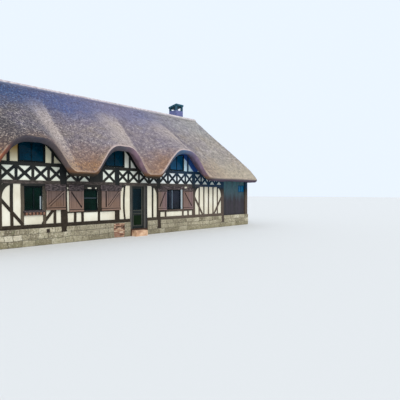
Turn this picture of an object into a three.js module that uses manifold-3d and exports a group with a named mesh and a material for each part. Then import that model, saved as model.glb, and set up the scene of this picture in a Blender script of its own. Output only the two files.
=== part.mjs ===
// Thatched half-timbered cottage of seven bays, in millimetres, at its real size.
// X runs along the front from left to right, the front looks towards -Y, Z is up.
// Z = 0 is the lowest ground that the stone plinth meets; the origin is the middle of the plan.
import * as THREE from 'three';
import { mergeVertices } from 'three/addons/utils/BufferGeometryUtils.js';
import Module from 'manifold-3d';

const wasm = await Module();
wasm.setup();

// Gap kept between pieces that touch, and the overlap used where two shapes are joined into one.
const GAP = 0.3;
const BITE = 5;

// Plan: half length and half depth of the timber frame, and of the thatch outline.
const FRAME_X = 9500;
const FRAME_Y = 3100;
const EAVE_X = 10000;
const EAVE_Y = 3900;
const CORNER_RADIUS = 700;

// Middles of the posts between the bays along the front and the back.
const POSTS = [-9375, -6670, -4020, -1260, 1390, 4110, 6780, 9375];
const POST_W = 250;
const STUD_W = 100;
const BRACE_W = 100;

// Levels of the walls.
const FLOOR_TOP = 350;
const PLINTH_TOP = 700;
const SILL_TOP = 850;
// Posts that run on down over the plinth, and the height of their feet.
const FEET = new Map([[-4020, 400], [1390, 270], [6780, 300]]);
const RAIL_BOTTOM = 2460;
const RAIL_TOP = 2600;
const PLATE_BOTTOM = 3200;

// Layers of a wall, counted inwards from the timber face.
const STUD_DEEP = 30;
const POST_DEEP = 120;
const WALL_DEEP = 180;
const PLINTH_PROUD = 30;
const SHUTTER_THICK = 35;

// Thatch: ridge and eave heights, thickness, and the eyebrow curves over the dormers.
const RIDGE_Z = 7100;
const EAVE_Z = 2980;
const RIDGE_X = 7720;
const THATCH = 350;
const BUTT_IN = 200;
const BUTT_DOWN = 180;
const BROW_BUTT_IN = 140;
const BROW_BUTT_DOWN = 220;
const BROWS = [
  { centre: -5620, half: 1780, rise: 1270, power: 1.55 },
  { centre: -1430, half: 1580, rise: 1250, power: 1.7 },
  { centre: 2720, half: 2040, rise: 1420, power: 1.35 },
];
const BROW_FADE = 0.86;
const BROW_STEPS = 14;
const ROWS = [0.3, 0.6, BROW_FADE];
const CORNER_STEPS = 6;

// Dormer gables over the plate.
const DORMERS = [-5400, -1400, 2730];
const DORMER_WINDOW_HALF = 530;
const DORMER_STUD = 895;
const DORMER_STUD_W = 110;
const DORMER_BASE = 3320;
const DORMER_HEAD = 4200;
const DORMER_HEADROOM = 40;

// Door: clear opening between the jambs, the leaf, and its hinge line.
const JAMB_LEFT = -500;
const DOOR_LEFT = -370;
const DOOR_RIGHT = 380;
const JAMB_RIGHT = 600;
const DOOR_HEAD = 2430;
const THRESHOLD_TOP = 340;
const LEAF_BOTTOM = 357;
const LEAF_TOP = 2424;
const LEAF_CLEAR = 8;
const LEAF_OUTER = 3040;
const LEAF_THICK = 45;
const HINGE_X = -358;
const HINGE_Y = -2983;
const HINGE_LEVELS = [650, 2050];
const PIN_R = 5;
const KNUCKLE_R = 9;
const KNUCKLE_H = 60;
const ARM_H = 20;
const ARM_HALF = 5;
const FLAP = 40;

// Windows in the front wall: left, right, bottom, top.
const WINDOW_1 = [-5710, -4930, 1400, 2380];
const WINDOW_2 = [-3070, -2330, 1310, 2290];
const WINDOW_3 = [1950, 3170, 1210, 2290];
const BAY_WINDOW = [8600, 9240, 2170, 2590];
const BACK_WINDOWS = [[-5855, -4855, 1310, 2290], [-485, 515, 1310, 2290], [4925, 5925, 1310, 2290]];
const SHUTTERS = [[-4800, -3960], [-3780, -3090], [-2150, -1090], [1340, 1930], [3230, 4000]];
const SHUTTER_LEVELS = [[1400, 2390], [1300, 2390], [1300, 2390], [1200, 2390], [1200, 2390]];

// Chimney right behind the ridge. The underside of its slab is lower at the back.
const STACK_X = 6395;
const STACK_Y = 570;
const STACK_HALF = 325;
const STACK_TOP = 7590;
const PILLAR = 120;
const SLAB_FRONT = 7910;
const SLAB_BACK = 7760;
const SLAB_THICK = 110;
const SLAB_PROUD = 30;

const COLOURS = {
  thatch: { color: 0x8d7566, roughness: 0.95 },
  ridge: { color: 0xb5a593, roughness: 0.95 },
  timber: { color: 0x2b211f, roughness: 0.8 },
  plaster: { color: 0xe9e1cf, roughness: 0.85 },
  stone: { color: 0x9a9184, roughness: 0.9 },
  tile: { color: 0xb3623b, roughness: 0.8 },
  brick: { color: 0x8a5647, roughness: 0.9 },
  shutter: { color: 0x5a3d39, roughness: 0.75 },
  door: { color: 0x1e2b27, roughness: 0.5 },
  window: { color: 0x1c2c38, roughness: 0.35 },
  boards: { color: 0x2c2a33, roughness: 0.85 },
};

const cottage = new THREE.Group();

// Solids.
function solid(geometry) {
  geometry.deleteAttribute('normal');
  geometry.deleteAttribute('uv');
  const merged = mergeVertices(geometry, 1e-3);
  const vertProperties = new Float32Array(merged.attributes.position.array);
  const triVerts = new Uint32Array(merged.index.array);
  return new wasm.Manifold(new wasm.Mesh({ numProp: 3, vertProperties, triVerts }));
}

function box(x, y, z) {
  const geometry = new THREE.BoxGeometry(x[1] - x[0], y[1] - y[0], z[1] - z[0]);
  geometry.translate((x[0] + x[1]) / 2, (y[0] + y[1]) / 2, (z[0] + z[1]) / 2);
  return solid(geometry);
}

function extrude(points, depth) {
  const shape = new THREE.Shape(points.map(([a, b]) => new THREE.Vector2(a, b)));
  return new THREE.ExtrudeGeometry(shape, { depth, bevelEnabled: false });
}

// Outline in X and Z, thick along Y.
function slabXZ(points, y) {
  const geometry = extrude(points, y[1] - y[0]);
  geometry.rotateX(Math.PI / 2);
  geometry.translate(0, y[1], 0);
  return solid(geometry);
}

// Outline in Y and Z, thick along X.
function slabYZ(points, x) {
  const geometry = extrude(points, x[1] - x[0]);
  geometry.rotateX(Math.PI / 2);
  geometry.rotateZ(Math.PI / 2);
  geometry.translate(x[0], 0, 0);
  return solid(geometry);
}

// Outline in X and Y, thick along Z.
function slabXY(points, z) {
  const geometry = extrude(points, z[1] - z[0]);
  geometry.translate(0, 0, z[0]);
  return solid(geometry);
}

function pin(x, y, z, radius, sides = 12) {
  const geometry = new THREE.CylinderGeometry(radius, radius, z[1] - z[0], sides);
  geometry.rotateX(Math.PI / 2);
  geometry.translate(x, y, (z[0] + z[1]) / 2);
  return solid(geometry);
}

function join(pieces) {
  return pieces.reduce((whole, piece) => whole.add(piece));
}

function cut(whole, pieces) {
  return pieces.reduce((rest, piece) => rest.subtract(piece), whole);
}

function addPiece(name, shape, finish) {
  const mesh = shape.getMesh();
  const geometry = new THREE.BufferGeometry();
  geometry.setAttribute('position', new THREE.BufferAttribute(new Float32Array(mesh.vertProperties), 3));
  geometry.setIndex(new THREE.BufferAttribute(new Uint32Array(mesh.triVerts), 1));
  geometry.computeVertexNormals();
  const material = new THREE.MeshStandardMaterial({ metalness: 0, ...COLOURS[finish] });
  const piece = new THREE.Mesh(geometry, material);
  piece.name = name;
  cottage.add(piece);
}

// Thatch section. At each station along the front, the outer line runs from the lip to the ridge.
const MAIN_SLOPE = (RIDGE_Z - EAVE_Z) / EAVE_Y;
const mainThick = THATCH * Math.hypot(1, MAIN_SLOPE);

// How far up its brow the lip is at x, from 0 at the eave to 1 over the middle of a dormer.
function swell(x) {
  const inside = BROWS.find(({ centre, half }) => Math.abs(x - centre) < half);
  if (!inside) return { share: 0, rise: 0 };
  const share = (1 + Math.cos(Math.PI * (Math.abs(x - inside.centre) / inside.half) ** inside.power)) / 2;
  return { share, rise: inside.rise * share };
}

// On the flanks of a brow the cut face is seen aslant, so it drops further.
function flank(x) {
  const step = 20;
  const slope = (swell(x + step).rise - swell(x - step).rise) / (2 * step);
  return (1 + Math.hypot(1, slope)) / 2;
}

function section(x, browed) {
  const { share, rise } = browed ? swell(x) : { share: 0, rise: 0 };
  const outer = (y) => RIDGE_Z - y * MAIN_SLOPE + rise * Math.max(0, 1 - (1 - y / EAVE_Y) / BROW_FADE);
  const thick = THATCH * Math.hypot(1, MAIN_SLOPE - rise / (EAVE_Y * BROW_FADE));
  const inner = (y) => outer(y) - mainThick - (thick - mainThick) * Math.min(1, y / FRAME_Y);
  const rows = ROWS.map((row) => EAVE_Y * (1 - row));
  const lipZ = EAVE_Z + rise;
  const underY = EAVE_Y - BUTT_IN - (BROW_BUTT_IN - BUTT_IN) * share;
  const drop = BUTT_DOWN + (BROW_BUTT_DOWN - BUTT_DOWN) * share;
  const underZ = lipZ - drop * (browed ? flank(x) : 1);
  const wallZ = inner(FRAME_Y);
  return {
    wallZ,
    points: [
      [EAVE_Y, lipZ], ...rows.map((y) => [y, outer(y)]), [0, RIDGE_Z], [0, inner(0)],
      ...rows.toReversed().map((y) => [y, inner(y)]), [FRAME_Y, wallZ], [underY, underZ],
    ],
  };
}

function browStations() {
  const stations = [-EAVE_X, EAVE_X];
  for (const { centre, half } of BROWS) {
    for (let step = 0; step <= BROW_STEPS; step += 1) {
      stations.push(centre + half * (2 * step / BROW_STEPS - 1));
    }
  }
  return stations.sort((a, b) => a - b);
}

const STATIONS = browStations();
const WALL_TOP = section(EAVE_X, false).wallZ;

// Underside of the thatch over the timber face, straight between the stations.
function undersideAt(x) {
  const after = STATIONS.findIndex((station) => station >= x);
  const low = STATIONS[Math.max(0, after - 1)];
  const high = STATIONS[after];
  const part = high > low ? (x - low) / (high - low) : 0;
  return section(low, true).wallZ * (1 - part) + section(high, true).wallZ * part;
}

// Closed strip through equal outlines, one at each station.
function loft(drawn) {
  const planar = (outline) => outline.map((point) => new THREE.Vector2(point[1], point[2]));
  const clockwise = THREE.ShapeUtils.isClockWise(planar(drawn[0]));
  const outlines = clockwise ? drawn.map((outline) => outline.toReversed()) : drawn;
  const count = outlines[0].length;
  const positions = outlines.flat(2);
  const index = [];
  for (let s = 0; s < outlines.length - 1; s += 1) {
    for (let k = 0; k < count; k += 1) {
      const a = s * count + k;
      const b = s * count + (k + 1) % count;
      index.push(a, b, b + count, a, b + count, a + count);
    }
  }
  const last = (outlines.length - 1) * count;
  for (const [a, b, c] of THREE.ShapeUtils.triangulateShape(planar(outlines[0]), [])) {
    index.push(a, c, b);
    index.push(last + a, last + b, last + c);
  }
  const geometry = new THREE.BufferGeometry();
  geometry.setAttribute('position', new THREE.Float32BufferAttribute(positions, 3));
  geometry.setIndex(index);
  return geometry;
}

function turnedOut(geometry) {
  const shape = solid(geometry);
  if (shape.volume() > 0) return shape;
  const index = geometry.index.array;
  for (let k = 0; k < index.length; k += 3) {
    [index[k], index[k + 1]] = [index[k + 1], index[k]];
  }
  return solid(geometry);
}

// Plans that the slopes are cut to: between the hips, beyond a hip, and the rounded eave.
const OVER_ALL = [0, SLAB_FRONT + SLAB_THICK];
function longPlan(side) {
  const tip = RIDGE_X - GAP;
  const foot = EAVE_X - GAP;
  const middle = -side * GAP / 2;
  return slabXY([[-tip, middle], [-foot, -side * EAVE_Y], [foot, -side * EAVE_Y], [tip, middle]], OVER_ALL);
}

function endPlan(side) {
  const tip = side * (RIDGE_X + GAP);
  const foot = side * (EAVE_X + GAP);
  return slabXY([[tip, 0], [foot, EAVE_Y], [foot, -EAVE_Y]], OVER_ALL);
}

function roundedPlan() {
  const arcs = [[1, 1, 0], [-1, 1, 1], [-1, -1, 2], [1, -1, 3]];
  const points = [];
  for (const [sx, sy, quarter] of arcs) {
    for (let step = 0; step <= CORNER_STEPS; step += 1) {
      const angle = Math.PI / 2 * (quarter + step / CORNER_STEPS);
      points.push([
        sx * (EAVE_X - CORNER_RADIUS) + CORNER_RADIUS * Math.cos(angle),
        sy * (EAVE_Y - CORNER_RADIUS) + CORNER_RADIUS * Math.sin(angle),
      ]);
    }
  }
  return slabXY(points, OVER_ALL);
}

const roofPlan = roundedPlan();
const stackHole = box(
  [STACK_X - STACK_HALF - GAP, STACK_X + STACK_HALF + GAP],
  [STACK_Y - STACK_HALF - GAP, STACK_Y + STACK_HALF + GAP],
  [FLOOR_TOP, STACK_TOP],
);

function longSlope(side, browed) {
  const stations = browed ? STATIONS : [-EAVE_X, EAVE_X];
  const outlines = stations.map((x) => section(x, browed).points.map(([y, z]) => [x, -side * y, z]));
  return turnedOut(loft(outlines)).intersect(roofPlan).intersect(longPlan(side)).subtract(stackHole);
}

// The hips have the section of the long slopes, drawn in towards the shorter end.
function endSlope(side) {
  const inwards = (EAVE_X - RIDGE_X) / EAVE_Y;
  const outline = section(EAVE_X, false).points.map(([y, z]) => [side * (RIDGE_X + y * inwards), z]);
  const geometry = extrude(outline, 2 * EAVE_Y);
  geometry.rotateX(Math.PI / 2);
  geometry.translate(0, EAVE_Y, 0);
  return turnedOut(geometry).intersect(roofPlan).intersect(endPlan(side));
}

addPiece('thatch_front', longSlope(1, true), 'thatch');
addPiece('thatch_back', longSlope(-1, false), 'thatch');
addPiece('thatch_left_hip', endSlope(-1), 'thatch');
addPiece('thatch_right_hip', endSlope(1), 'thatch');

// Ridge cap bedded on the thatch.
const CAP_X = RIDGE_X - 100;
const CAP_REACH = 140;
const CAP_THICK = 60;
const CAP_SHOULDER = [75, 25];
function ridgeCap() {
  const footBottom = RIDGE_Z - CAP_REACH * MAIN_SLOPE + 2 * GAP;
  const [shoulderY, shoulderDown] = CAP_SHOULDER;
  const top = RIDGE_Z + CAP_THICK;
  const outline = [
    [-CAP_REACH, footBottom], [0, RIDGE_Z + 2 * GAP], [CAP_REACH, footBottom],
    [CAP_REACH, footBottom + CAP_THICK], [shoulderY, top - shoulderDown], [0, top],
    [-shoulderY, top - shoulderDown], [-CAP_REACH, footBottom + CAP_THICK],
  ];
  return slabYZ(outline, [-CAP_X, CAP_X]);
}
addPiece('ridge_cap', ridgeCap(), 'ridge');

// Timbers. A list holds the solids of one frame; main timbers are let into the wall.
function mainTimber(x, z) {
  return { x, z, deep: POST_DEEP };
}

function boxTimber(x, z, deep = STUD_DEEP) {
  return { x, z, deep };
}

// Sloping or curved timber through the given points, in X and Z.
function braceOutline(points, width) {
  const left = [];
  const right = [];
  points.forEach(([x, z], k) => {
    const before = points[Math.max(0, k - 1)];
    const after = points[Math.min(points.length - 1, k + 1)];
    const length = Math.hypot(after[0] - before[0], after[1] - before[1]);
    const nx = -(after[1] - before[1]) / length * width / 2;
    const nz = (after[0] - before[0]) / length * width / 2;
    left.push([x + nx, z + nz]);
    right.push([x - nx, z - nz]);
  });
  return [...left, ...right.reverse()];
}

function brace(points, width = BRACE_W) {
  return { outline: braceOutline(points, width), deep: STUD_DEEP };
}

// Solid of a timber on a long wall; side is -1 on the front and 1 on the back.
function longTimber(timber, side, grow = 0) {
  const faces = [side * (FRAME_Y + grow), side * (FRAME_Y - timber.deep - grow)].sort((a, b) => a - b);
  if (timber.outline) return slabXZ(timber.outline, faces);
  const [x, z] = [timber.x, timber.z];
  return box([x[0] - grow, x[1] + grow], faces, [z[0] - grow, z[1] + grow]);
}

function post(x, bottom, top) {
  return mainTimber([x - POST_W / 2, x + POST_W / 2], [bottom, top]);
}

function stud(x, bottom = SILL_TOP - BITE, top = RAIL_BOTTOM) {
  return boxTimber([x - STUD_W / 2, x + STUD_W / 2], [bottom, top]);
}

// Braces that meet on the post at a little over half height, one down to the sill and one up.
const BRACE_MEET = 1930;
const BRACE_RUN_DOWN = 800;
const BRACE_RUN_UP = 430;
function lowBrace(postX, way) {
  return brace([[postX + way * 60, BRACE_MEET - 30], [postX + way * BRACE_RUN_DOWN, SILL_TOP - BITE]]);
}

function highBrace(postX, way) {
  const start = postX + way * 70;
  const points = [];
  for (let step = 0; step <= 4; step += 1) {
    const angle = Math.PI / 2 * step / 4;
    points.push([start + way * BRACE_RUN_UP * (1 - Math.cos(angle)), BRACE_MEET + 10
      + (RAIL_BOTTOM + BITE - BRACE_MEET - 10) * Math.sin(angle)]);
  }
  return brace(points);
}

// A bay of close studs with braces at both ends.
function studdedBay(left, right) {
  const timbers = [];
  for (let k = 1; k <= 5; k += 1) {
    timbers.push(stud(left + (right - left) * (k + 0.15) / 6.3));
  }
  timbers.push(lowBrace(left, 1), highBrace(left, 1), lowBrace(right, -1), highBrace(right, -1));
  return timbers;
}

function rail(x, z, deep = STUD_DEEP) {
  return boxTimber(x, z, deep);
}

const lowTop = RAIL_BOTTOM - GAP;
function lowPost(x) {
  return post(x, FEET.get(x) ?? PLINTH_TOP + GAP, lowTop);
}

function trimmed(timbers, top) {
  return timbers.map((timber) => {
    if (timber.outline) {
      return { ...timber, outline: timber.outline.map(([x, z]) => [x, Math.min(z, top)]) };
    }
    return { ...timber, z: [timber.z[0], Math.min(timber.z[1], top)] };
  });
}

const leftLow = trimmed([
  mainTimber([-FRAME_X, JAMB_LEFT - GAP], [PLINTH_TOP + GAP, SILL_TOP]),
  ...POSTS.slice(0, 4).map(lowPost),
  ...studdedBay(POSTS[0], POSTS[1]),
  stud(-6180), stud(-5770), stud(-4870), stud(-4420),
  lowBrace(POSTS[1], 1), highBrace(POSTS[1], 1), lowBrace(POSTS[2], -1),
  rail([-5800, -4840], [2380, 2480]),
  rail([-5800, -4840], [1230, 1400]),
  rail([POSTS[2], POSTS[3]], [1210, 1310]),
  rail([POSTS[2], POSTS[3]], [2290, 2400]),
  stud(-3490, SILL_TOP - BITE, 1260), stud(-3120), stud(-2280),
  stud(-830),
], lowTop);

const rightLow = trimmed([
  mainTimber([JAMB_RIGHT + GAP, POSTS[6] + POST_W / 2], [PLINTH_TOP + GAP, SILL_TOP]),
  ...POSTS.slice(4, 7).map(lowPost),
  stud(930), highBrace(POSTS[4], -1),
  rail([POSTS[4], POSTS[5]], [1110, 1210]),
  rail([POSTS[4], POSTS[5]], [2290, 2400]),
  stud(1900), stud(3220), stud(3650, SILL_TOP - BITE, 1160),
  ...studdedBay(POSTS[5], POSTS[6]),
], lowTop);

// Band of crosses over the mid rail, with the wall plate and the studs of the dormer gables.
const BAND_TOP = PLATE_BOTTOM + BITE;
const BAND_BOTTOM = RAIL_TOP - BITE;
const CROSS_W = 90;
const STUD_HALF = CROSS_W / 2;
function crossPanel(left, right) {
  return [
    brace([[left, BAND_BOTTOM], [right, BAND_TOP]], CROSS_W),
    brace([[left, BAND_TOP], [right, BAND_BOTTOM]], CROSS_W),
  ];
}

function crossedBay(left, right, panels = 4) {
  const timbers = [];
  const pitch = (right - left) / panels;
  for (let k = 0; k < panels; k += 1) {
    timbers.push(...crossPanel(left + k * pitch, left + (k + 1) * pitch));
    const middle = left + k * pitch;
    if (k > 0) timbers.push(boxTimber([middle - STUD_HALF, middle + STUD_HALF], [BAND_BOTTOM, BAND_TOP]));
  }
  return timbers;
}

function dormerTimbers(centre) {
  return [-1, 1].map((way) => {
    const x = [-1, 1].map((side) => centre + way * DORMER_STUD + side * DORMER_STUD_W / 2);
    const top = Math.min(...x.map(undersideAt)) - GAP;
    return boxTimber(x, [WALL_TOP - BITE, top]);
  });
}

const PLATE_TOP = WALL_TOP - GAP;
const BAND_RIGHT = POSTS[6] + POST_W / 2;
const bandTimbers = [
  mainTimber([-FRAME_X, BAND_RIGHT], [RAIL_BOTTOM, RAIL_TOP]),
  mainTimber([-FRAME_X, BAND_RIGHT], [PLATE_BOTTOM, PLATE_TOP]),
  ...POSTS.slice(0, 7).map((x) => post(x, RAIL_TOP - BITE, PLATE_BOTTOM + BITE)),
  ...crossedBay(POSTS[0], POSTS[1]), ...crossedBay(POSTS[1], POSTS[2]),
  ...crossedBay(POSTS[2], -2690, 2),
  boxTimber([-2745, -2290], [BAND_BOTTOM, BAND_TOP]), boxTimber([-2180, -2060], [BAND_BOTTOM, BAND_TOP]),
  ...crossPanel(-2060, -1370),
  ...crossedBay(POSTS[3], POSTS[4]), ...crossedBay(POSTS[4], POSTS[5]), ...crossedBay(POSTS[5], POSTS[6]),
  ...DORMERS.flatMap(dormerTimbers),
];

function longFrame(timbers, side) {
  return join(timbers.map((timber) => longTimber(timber, side)));
}

const leftFrame = longFrame(leftLow, -1);
const rightFrame = longFrame(rightLow, -1);
const bandFrame = longFrame(bandTimbers, -1);
addPiece('front_frame_left', leftFrame, 'timber');
addPiece('front_frame_right', rightFrame, 'timber');
addPiece('front_band_frame', bandFrame, 'timber');

// Plaster walls behind the timbers, cut round the main timbers that are let into them.
const slabY = [-FRAME_Y + STUD_DEEP + GAP, -FRAME_Y + WALL_DEEP];
const wallEnd = FRAME_X - WALL_DEEP - GAP;

function letIn(timbers, side) {
  return timbers.filter((timber) => timber.deep === POST_DEEP).map((timber) => longTimber(timber, side, GAP));
}

function windowHole([left, right, bottom, top], y) {
  return box([left, right], [y[0] - 1, y[1] + 1], [bottom, top]);
}

function wallOutline(left, right) {
  const top = STATIONS.filter((x) => x > left && x < right).map((x) => [x, undersideAt(x) - GAP]);
  return [[left, PLINTH_TOP + GAP], [right, PLINTH_TOP + GAP], [right, undersideAt(right) - GAP],
    ...top.reverse(), [left, undersideAt(left) - GAP]];
}

function dormerHoleOutline(centre, shrink) {
  const left = centre - DORMER_WINDOW_HALF + shrink;
  const right = centre + DORMER_WINDOW_HALF - shrink;
  const inside = STATIONS.filter((x) => x > left && x < right);
  const head = (x) => Math.min(DORMER_HEAD, undersideAt(x) - DORMER_HEADROOM) - shrink;
  return [[left, DORMER_BASE + shrink], [right, DORMER_BASE + shrink], [right, head(right)],
    ...inside.reverse().map((x) => [x, head(x)]), [left, head(left)]];
}

const throughWall = [slabY[0] - 1, slabY[1] + 1];
const dormerHoles = DORMERS.map((centre) => slabXZ(dormerHoleOutline(centre, 0), throughWall));
const doorHole = box([JAMB_LEFT - GAP, JAMB_RIGHT + GAP], throughWall, [0, RAIL_BOTTOM]);
const bandLetIn = letIn(bandTimbers, -1);

addPiece('front_wall_left', cut(slabXZ(wallOutline(-wallEnd, JAMB_LEFT - GAP), slabY), [
  ...letIn(leftLow, -1), ...bandLetIn, windowHole(WINDOW_1, slabY), windowHole(WINDOW_2, slabY),
  dormerHoles[0], dormerHoles[1],
]), 'plaster');
addPiece('front_wall_over_door', cut(slabXZ(wallOutline(JAMB_LEFT, JAMB_RIGHT), slabY), [
  ...bandLetIn, doorHole,
]), 'plaster');
addPiece('front_wall_right', cut(slabXZ(wallOutline(JAMB_RIGHT + GAP, BAND_RIGHT), slabY), [
  ...letIn(rightLow, -1), ...bandLetIn, windowHole(WINDOW_3, slabY), dormerHoles[2],
]), 'plaster');

// Last bay: dark boards set back between the white part and the corner post.
const boardY = [-FRAME_Y + POST_DEEP + GAP, -FRAME_Y + WALL_DEEP];
addPiece('right_corner_post', box([FRAME_X - POST_W, FRAME_X], [-FRAME_Y, -FRAME_Y + POST_DEEP],
  [PLINTH_TOP + GAP, PLATE_TOP]), 'timber');
addPiece('front_boarded_bay', box([BAND_RIGHT + GAP, wallEnd], boardY, [PLINTH_TOP + GAP, PLATE_TOP])
  .subtract(windowHole(BAY_WINDOW, boardY)), 'boards');

// Back wall: the same bays and storeys, plainly framed.
const backTimbers = [
  mainTimber([-FRAME_X, FRAME_X], [PLINTH_TOP + GAP, SILL_TOP]),
  mainTimber([-FRAME_X, FRAME_X], [RAIL_BOTTOM, RAIL_TOP]),
  mainTimber([-FRAME_X, FRAME_X], [PLATE_BOTTOM, PLATE_TOP]),
  ...POSTS.map((x) => post(x, SILL_TOP - BITE, PLATE_BOTTOM + BITE)),
];
POSTS.slice(0, 7).forEach((left, bay) => {
  const right = POSTS[bay + 1];
  const middle = (left + right) / 2;
  const pitch = (right - left) / 4;
  if (bay % 2 === 0) {
    backTimbers.push(stud(middle - pitch), stud(middle), stud(middle + pitch));
    backTimbers.push(lowBrace(left, 1), lowBrace(right, -1));
  }
  [1, 2, 3].forEach((k) => backTimbers.push(stud(left + k * pitch, BAND_BOTTOM, BAND_TOP)));
});
BACK_WINDOWS.forEach(([left, right, bottom, top]) => {
  backTimbers.push(stud(left - 50), stud(right + 50));
  backTimbers.push(rail([left - 60, right + 60], [bottom - 100, bottom]));
  backTimbers.push(rail([left - 60, right + 60], [top, top + 100]));
});
const backY = [FRAME_Y - WALL_DEEP, FRAME_Y - STUD_DEEP - GAP];
addPiece('back_frame', longFrame(backTimbers, 1), 'timber');
addPiece('back_wall', cut(box([-wallEnd, wallEnd], backY, [PLINTH_TOP + GAP, PLATE_TOP]), [
  ...letIn(backTimbers, 1), ...BACK_WINDOWS.map((window) => windowHole(window, backY)),
]), 'plaster');

// End walls between the long walls. Frame and plaster on the left, dark boards on the right.
const END_Y = FRAME_Y - POST_DEEP - GAP;
const END_TOP = WALL_TOP;
const END_POSTS = [-1000, 1000];
const END_STUDS = [-2440, -1960, -1480, -500, 0, 500, 1480, 1960, 2440];
function endTimbers() {
  const face = [-FRAME_X, -FRAME_X + STUD_DEEP];
  const timbers = [
    box(face, [-END_Y, END_Y], [PLINTH_TOP + GAP, SILL_TOP]),
    box(face, [-END_Y, END_Y], [RAIL_BOTTOM, RAIL_TOP]),
    box(face, [-END_Y, END_Y], [PLATE_BOTTOM, END_TOP]),
  ];
  for (const y of END_POSTS) {
    timbers.push(box(face, [y - POST_W / 2, y + POST_W / 2], [SILL_TOP - BITE, PLATE_BOTTOM + BITE]));
  }
  for (const y of END_STUDS) {
    timbers.push(box(face, [y - STUD_W / 2, y + STUD_W / 2], [SILL_TOP - BITE, PLATE_BOTTOM + BITE]));
  }
  return join(timbers);
}

function endSlab(x) {
  return box(x, [-END_Y, END_Y], [PLINTH_TOP + GAP, END_TOP]);
}

addPiece('left_end_frame', endTimbers(), 'timber');
addPiece('left_end_wall', endSlab([-FRAME_X + STUD_DEEP + GAP, -FRAME_X + WALL_DEEP]), 'plaster');
addPiece('right_end_wall', endSlab([FRAME_X - WALL_DEEP, FRAME_X - STUD_DEEP - GAP]), 'boards');

// Stone plinth, threshold, floor and step.
const PLINTH_X = FRAME_X + PLINTH_PROUD;
const PLINTH_Y = FRAME_Y + PLINTH_PROUD;
const plinthDeep = WALL_DEEP + PLINTH_PROUD;
function frontPlinth(left, right) {
  const stone = box([left, right], [-PLINTH_Y, -PLINTH_Y + plinthDeep], [0, PLINTH_TOP]);
  const notches = [...FEET].map(([x, foot]) => box([x - POST_W / 2 - GAP, x + POST_W / 2 + GAP],
    [-PLINTH_Y - 1, -FRAME_Y + POST_DEEP + GAP], [foot - GAP, PLINTH_TOP + 1]));
  return cut(stone, notches);
}

addPiece('plinth_front_left', frontPlinth(-PLINTH_X, JAMB_LEFT - GAP), 'stone');
addPiece('plinth_front_right', frontPlinth(JAMB_RIGHT + GAP, PLINTH_X), 'stone');
const stoneZ = [0, PLINTH_TOP];
const thresholdY = [-PLINTH_Y, -FRAME_Y + WALL_DEEP];
addPiece('threshold', box([JAMB_LEFT, JAMB_RIGHT], thresholdY, [0, THRESHOLD_TOP]), 'stone');
addPiece('plinth_back', box([-PLINTH_X, PLINTH_X], [PLINTH_Y - plinthDeep, PLINTH_Y], stoneZ), 'stone');
const plinthInside = [-FRAME_Y + WALL_DEEP + GAP, FRAME_Y - WALL_DEEP - GAP];
addPiece('plinth_left', box([-PLINTH_X, -PLINTH_X + plinthDeep], plinthInside, stoneZ), 'stone');
addPiece('plinth_right', box([PLINTH_X - plinthDeep, PLINTH_X], plinthInside, stoneZ), 'stone');
addPiece('ground_floor', box([-wallEnd, wallEnd], plinthInside, [0, FLOOR_TOP]), 'tile');
const boards = box([-wallEnd, wallEnd], plinthInside, [RAIL_BOTTOM, RAIL_TOP]);
addPiece('upper_floor', boards.subtract(stackHole), 'timber');

const STEP_X = [-430, 300];
const STEP_DEEP = 340;
const STEP_TOP = 250;
addPiece('door_step', box(STEP_X, [-PLINTH_Y - GAP - STEP_DEEP, -PLINTH_Y - GAP], [0, STEP_TOP]), 'tile');

// Chimney: stack from the floor through the back slope, four pillars, and a leaning slab on them.
function slabUnder(y) {
  const reach = STACK_HALF + SLAB_PROUD;
  const share = (y - STACK_Y + reach) / (2 * reach);
  return SLAB_FRONT + (SLAB_BACK - SLAB_FRONT) * share;
}

function chimneyStack() {
  const left = STACK_X - STACK_HALF;
  const right = STACK_X + STACK_HALF;
  const front = STACK_Y - STACK_HALF;
  const back = STACK_Y + STACK_HALF;
  const pieces = [box([left, right], [front, back], [FLOOR_TOP + GAP, STACK_TOP])];
  for (const x of [[left, left + PILLAR], [right - PILLAR, right]]) {
    for (const [near, far] of [[front, front + PILLAR], [back - PILLAR, back]]) {
      const foot = STACK_TOP - BITE;
      pieces.push(slabYZ([[near, foot], [far, foot], [far, slabUnder(far)], [near, slabUnder(near)]], x));
    }
  }
  return join(pieces);
}

function chimneyCap() {
  const reach = STACK_HALF + SLAB_PROUD;
  const front = STACK_Y - reach;
  const back = STACK_Y + reach;
  const outline = [[front, SLAB_FRONT], [back, SLAB_BACK], [back, SLAB_BACK + SLAB_THICK],
    [front, SLAB_FRONT + SLAB_THICK]];
  const lifted = outline.map(([y, z]) => [y, z + GAP]);
  return slabYZ(lifted, [STACK_X - reach, STACK_X + reach]);
}

addPiece('chimney_stack', chimneyStack(), 'brick');
addPiece('chimney_cap', chimneyCap(), 'brick');

// Windows: a frame with its pane let in, one piece in each opening.
const SASH = 55;
const SASH_Y = [-FRAME_Y + 50, -FRAME_Y + 120];
const PANE_Y = [-FRAME_Y + 80, -FRAME_Y + 88];
function shrunk([left, right, bottom, top], by) {
  return [left + by, right - by, bottom + by, top - by];
}

function windowPiece(opening, y, paneY) {
  const [left, right, bottom, top] = shrunk(opening, GAP);
  const inner = shrunk(opening, SASH);
  const frame = box([left, right], y, [bottom, top]).subtract(windowHole(inner, y));
  const pane = shrunk(opening, SASH - BITE);
  return frame.add(box([pane[0], pane[1]], paneY, [pane[2], pane[3]]));
}

function mirrored(y) {
  return [-y[1], -y[0]];
}

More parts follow.
